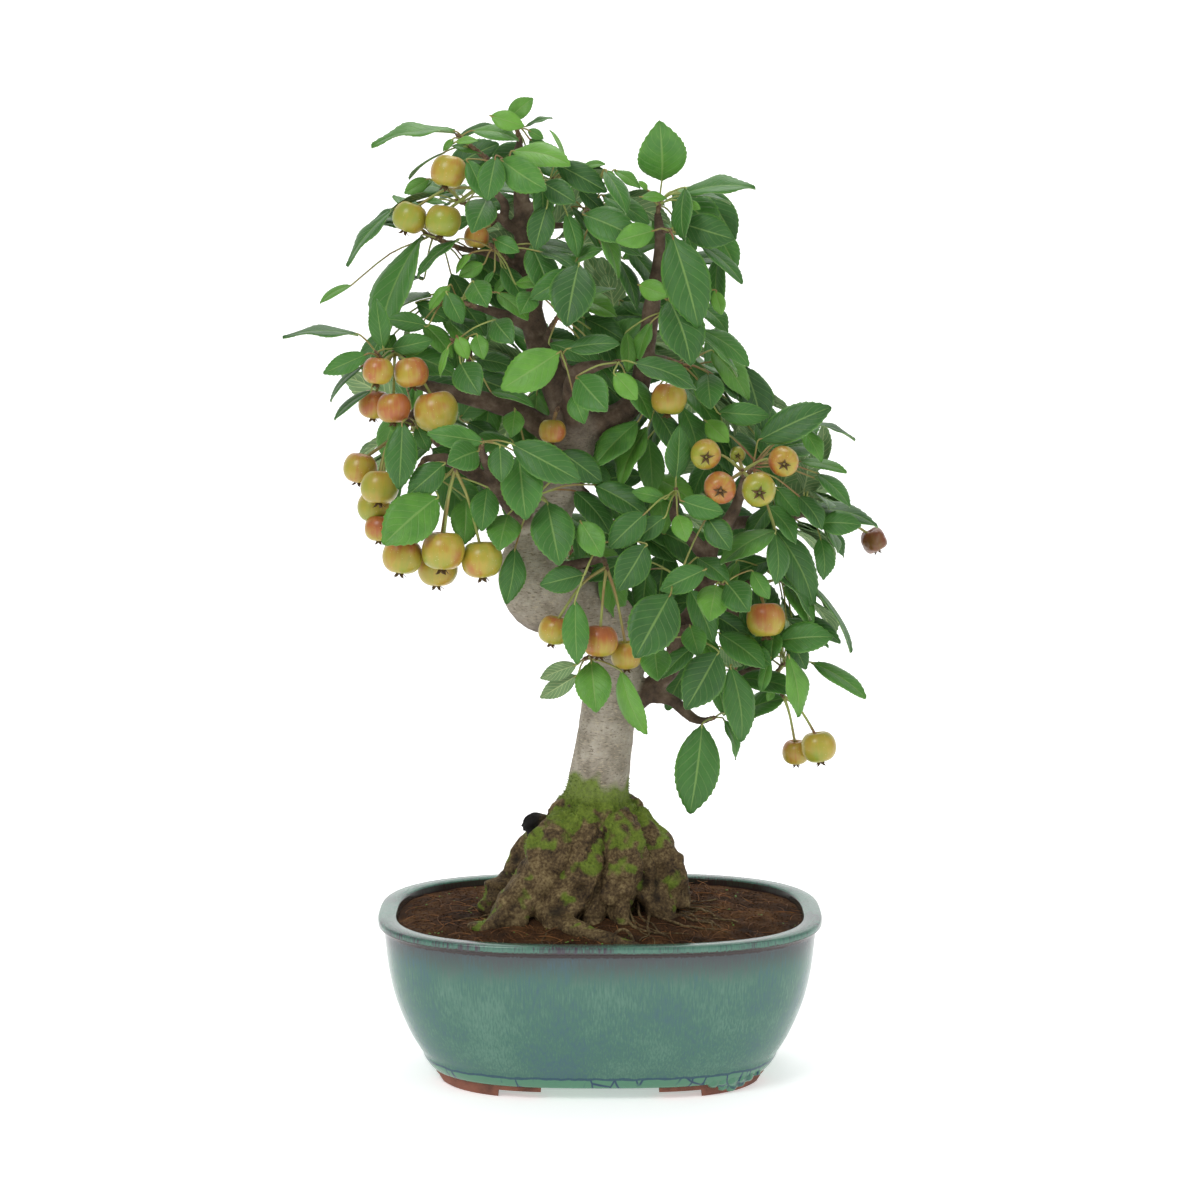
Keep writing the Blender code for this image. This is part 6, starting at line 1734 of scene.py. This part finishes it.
# Crabapple skin: yellow-green under a thin wax, flushed orange-red in streaks, with pale specks
def makeAppleSkin():
    finish, tree, shader, place = startFinish("crabapple skin, waxy", 0.32)
    blush, withered = [addNode(tree, "Attribute", attribute_name=name).outputs["Fac"] for name in ("blush",
        "withered")]
    cloud = addNode(tree, "TexNoise", {"Vector": place, "Scale": 60, "Detail": 3, "Roughness": 0.5})
    skin = addNode(tree, "UVMap", uv_map="leaf")
    stretched = addNode(tree, "VectorMath", {0: skin, 1: (40, 2.2, 1)}, operation="MULTIPLY")
    streaks = addNode(tree, "TexNoise", {"Vector": stretched, "Scale": 1.0, "Detail": 3})
    # the eye end stays greener than the shoulders
    toEye = addNode(tree, "SeparateXYZ", {"Vector": skin}).outputs["Y"]
    shoulder = addNode(tree, "Math", {0: toEye, 1: -0.5, 2: blush}, operation="MULTIPLY_ADD")
    level = addNode(tree, "Math", {0: cloud, 1: 1.5, 2: shoulder}, operation="MULTIPLY_ADD")
    streaked = addNode(tree, "Math", {0: streaks, 1: 0.5, 2: level}, operation="MULTIPLY_ADD")
    share = addNode(tree, "MapRange", {"Value": streaked, "From Min": 0.7, "From Max": 1.85})
    ripe = addNode(tree, "ValToRGB", {"Fac": share}, [(0, appleLook["green"]), (0.35, appleLook["yellow"]),
        (0.65, appleLook["orange"]), (1, appleLook["red"])])
    cells = addNode(tree, "TexVoronoi", {"Vector": place, "Scale": 1 / (appleLook["dotSpacing"] * mm)})
    dots = addNode(tree, "MapRange", {"Value": cells, "From Min": 0.09, "From Max": 0.13, "To Min": 0.7,
        "To Max": 0})
    shade = layCoats(tree, ripe, (dots, appleLook["dot"]), (withered, appleLook["withered"]))
    wire(shader, {"Base Color": shade})
    return finish


# Dried sepals at the eye of the apple: dull brown
def makeCalyxFinish():
    finish, tree, shader, place = startFinish("dried sepals", 0.85)
    wire(shader, {"Base Color": colour(appleLook["calyx"])})
    return finish


# one apple a unit across, as a closed body with its sepals; Z points to its eye
def appleShape(number, home):
    draw = random.Random(apple["seed"] + number)
    roughness = apple["rough"] * (5 if number == apple["shapes"] - 1 else 1)
    sides = apple["sides"]
    rows = smoothRows(apple["profile"], 2)
    shift = Vector((draw.uniform(0, 50), 0, 0))
    points = []
    for radius, z in rows:
        for k in range(sides):
            angle = math.tau * k / sides
            spot = Vector((radius * math.cos(angle), radius * math.sin(angle), z))
            swell = 1 + noise.noise(spot * 2.2 + shift) * roughness * 1.6 + noise.noise(spot * 9
                + shift) * roughness * 0.3
            points.append(spot * (swell if radius > 0.1 else 1))
    faces = loftFaces(len(rows), sides)
    body, skinCount = len(faces), len(points)
    for number2 in range(apple["sepals"]):
        angle = math.tau * number2 / apple["sepals"] + draw.uniform(-0.2, 0.2)
        out = Vector((math.cos(angle), math.sin(angle), 0))
        side = Vector((-math.sin(angle), math.cos(angle), 0))
        lean = draw.uniform(0.05, 0.12)
        first = len(points)
        for reach, z, half, thick in ((0.04, 0.34, 0.038, 0.014), (0.08, 0.43, 0.046, 0.013),
                (0.09 + lean * 0.7, 0.5, 0.03, 0.01)):
            for a, b in ((-1, 1), (1, 1), (1, -1), (-1, -1)):
                points.append(out * (reach + b * thick) + side * half * a + Vector((0, 0, z)))
        points.append(out * (0.12 + lean * 1.5) + Vector((0, 0, 0.55 - lean * 0.3)))
        faces.append((first + 3, first + 2, first + 1, first))
        for ring in range(2):
            for k in range(4):
                a, b = first + ring * 4 + k, first + ring * 4 + (k + 1) % 4
                faces.append((a, b, b + 4, a + 4))
        faces += [(first + 8 + k, first + 8 + (k + 1) % 4, first + 12) for k in range(4)]
    keepShape(home, "appleShape%d" % number, points, faces, lambda i: (i % sides / sides,
        i // sides / len(rows)) if i < skinCount else (0, 0), body, turnOut=True)


def makeApples():
    skin, calyx, spur = makeAppleSkin(), makeCalyxFinish(), makeSpurFinish()
    home = startHome("appleShapes")
    for number in range(apple["shapes"]):
        appleShape(number, home)
    draw = random.Random(apple["seed"])
    for name, found in apples.items():
        rows, pedicels = [], []
        for centre, size, eyeWay, stalk in found:
            old = name == "fruit_right_end"
            across = eyeWay.orthogonal().normalized()
            rows.append({"at": centre, "frame": (across, eyeWay.cross(across), eyeWay), "size": (size, size,
                size), "pick": apple["shapes"] - 1 if old else draw.randrange(apple["shapes"] - 1),
                "values": {"blush": draw.uniform(0.1, 0.7), "withered": 0.8 if old else 0.0}})
            path = [(*p, r) for p, r in stalk]
            path[0] = (*stalk[0][0], 1.15)
            path[-1] = (*(stalk[-1][0] + eyeWay * size * 0.06), 0.85)
            pedicels.append(worldPath(path, 6))
        piece = copyShapes(name + "_apples", rows, home, skin, calyx)
        joinInto(piece, [stalks(name + "_pedicels", pedicels, 7, stalkFinish), stalks(name + "_shoot",
            shootPaths(name), 8, spur)])
        finishPiece(piece, "fruit", name)
    dropHome(home)
    print("apples made")


makeApples()
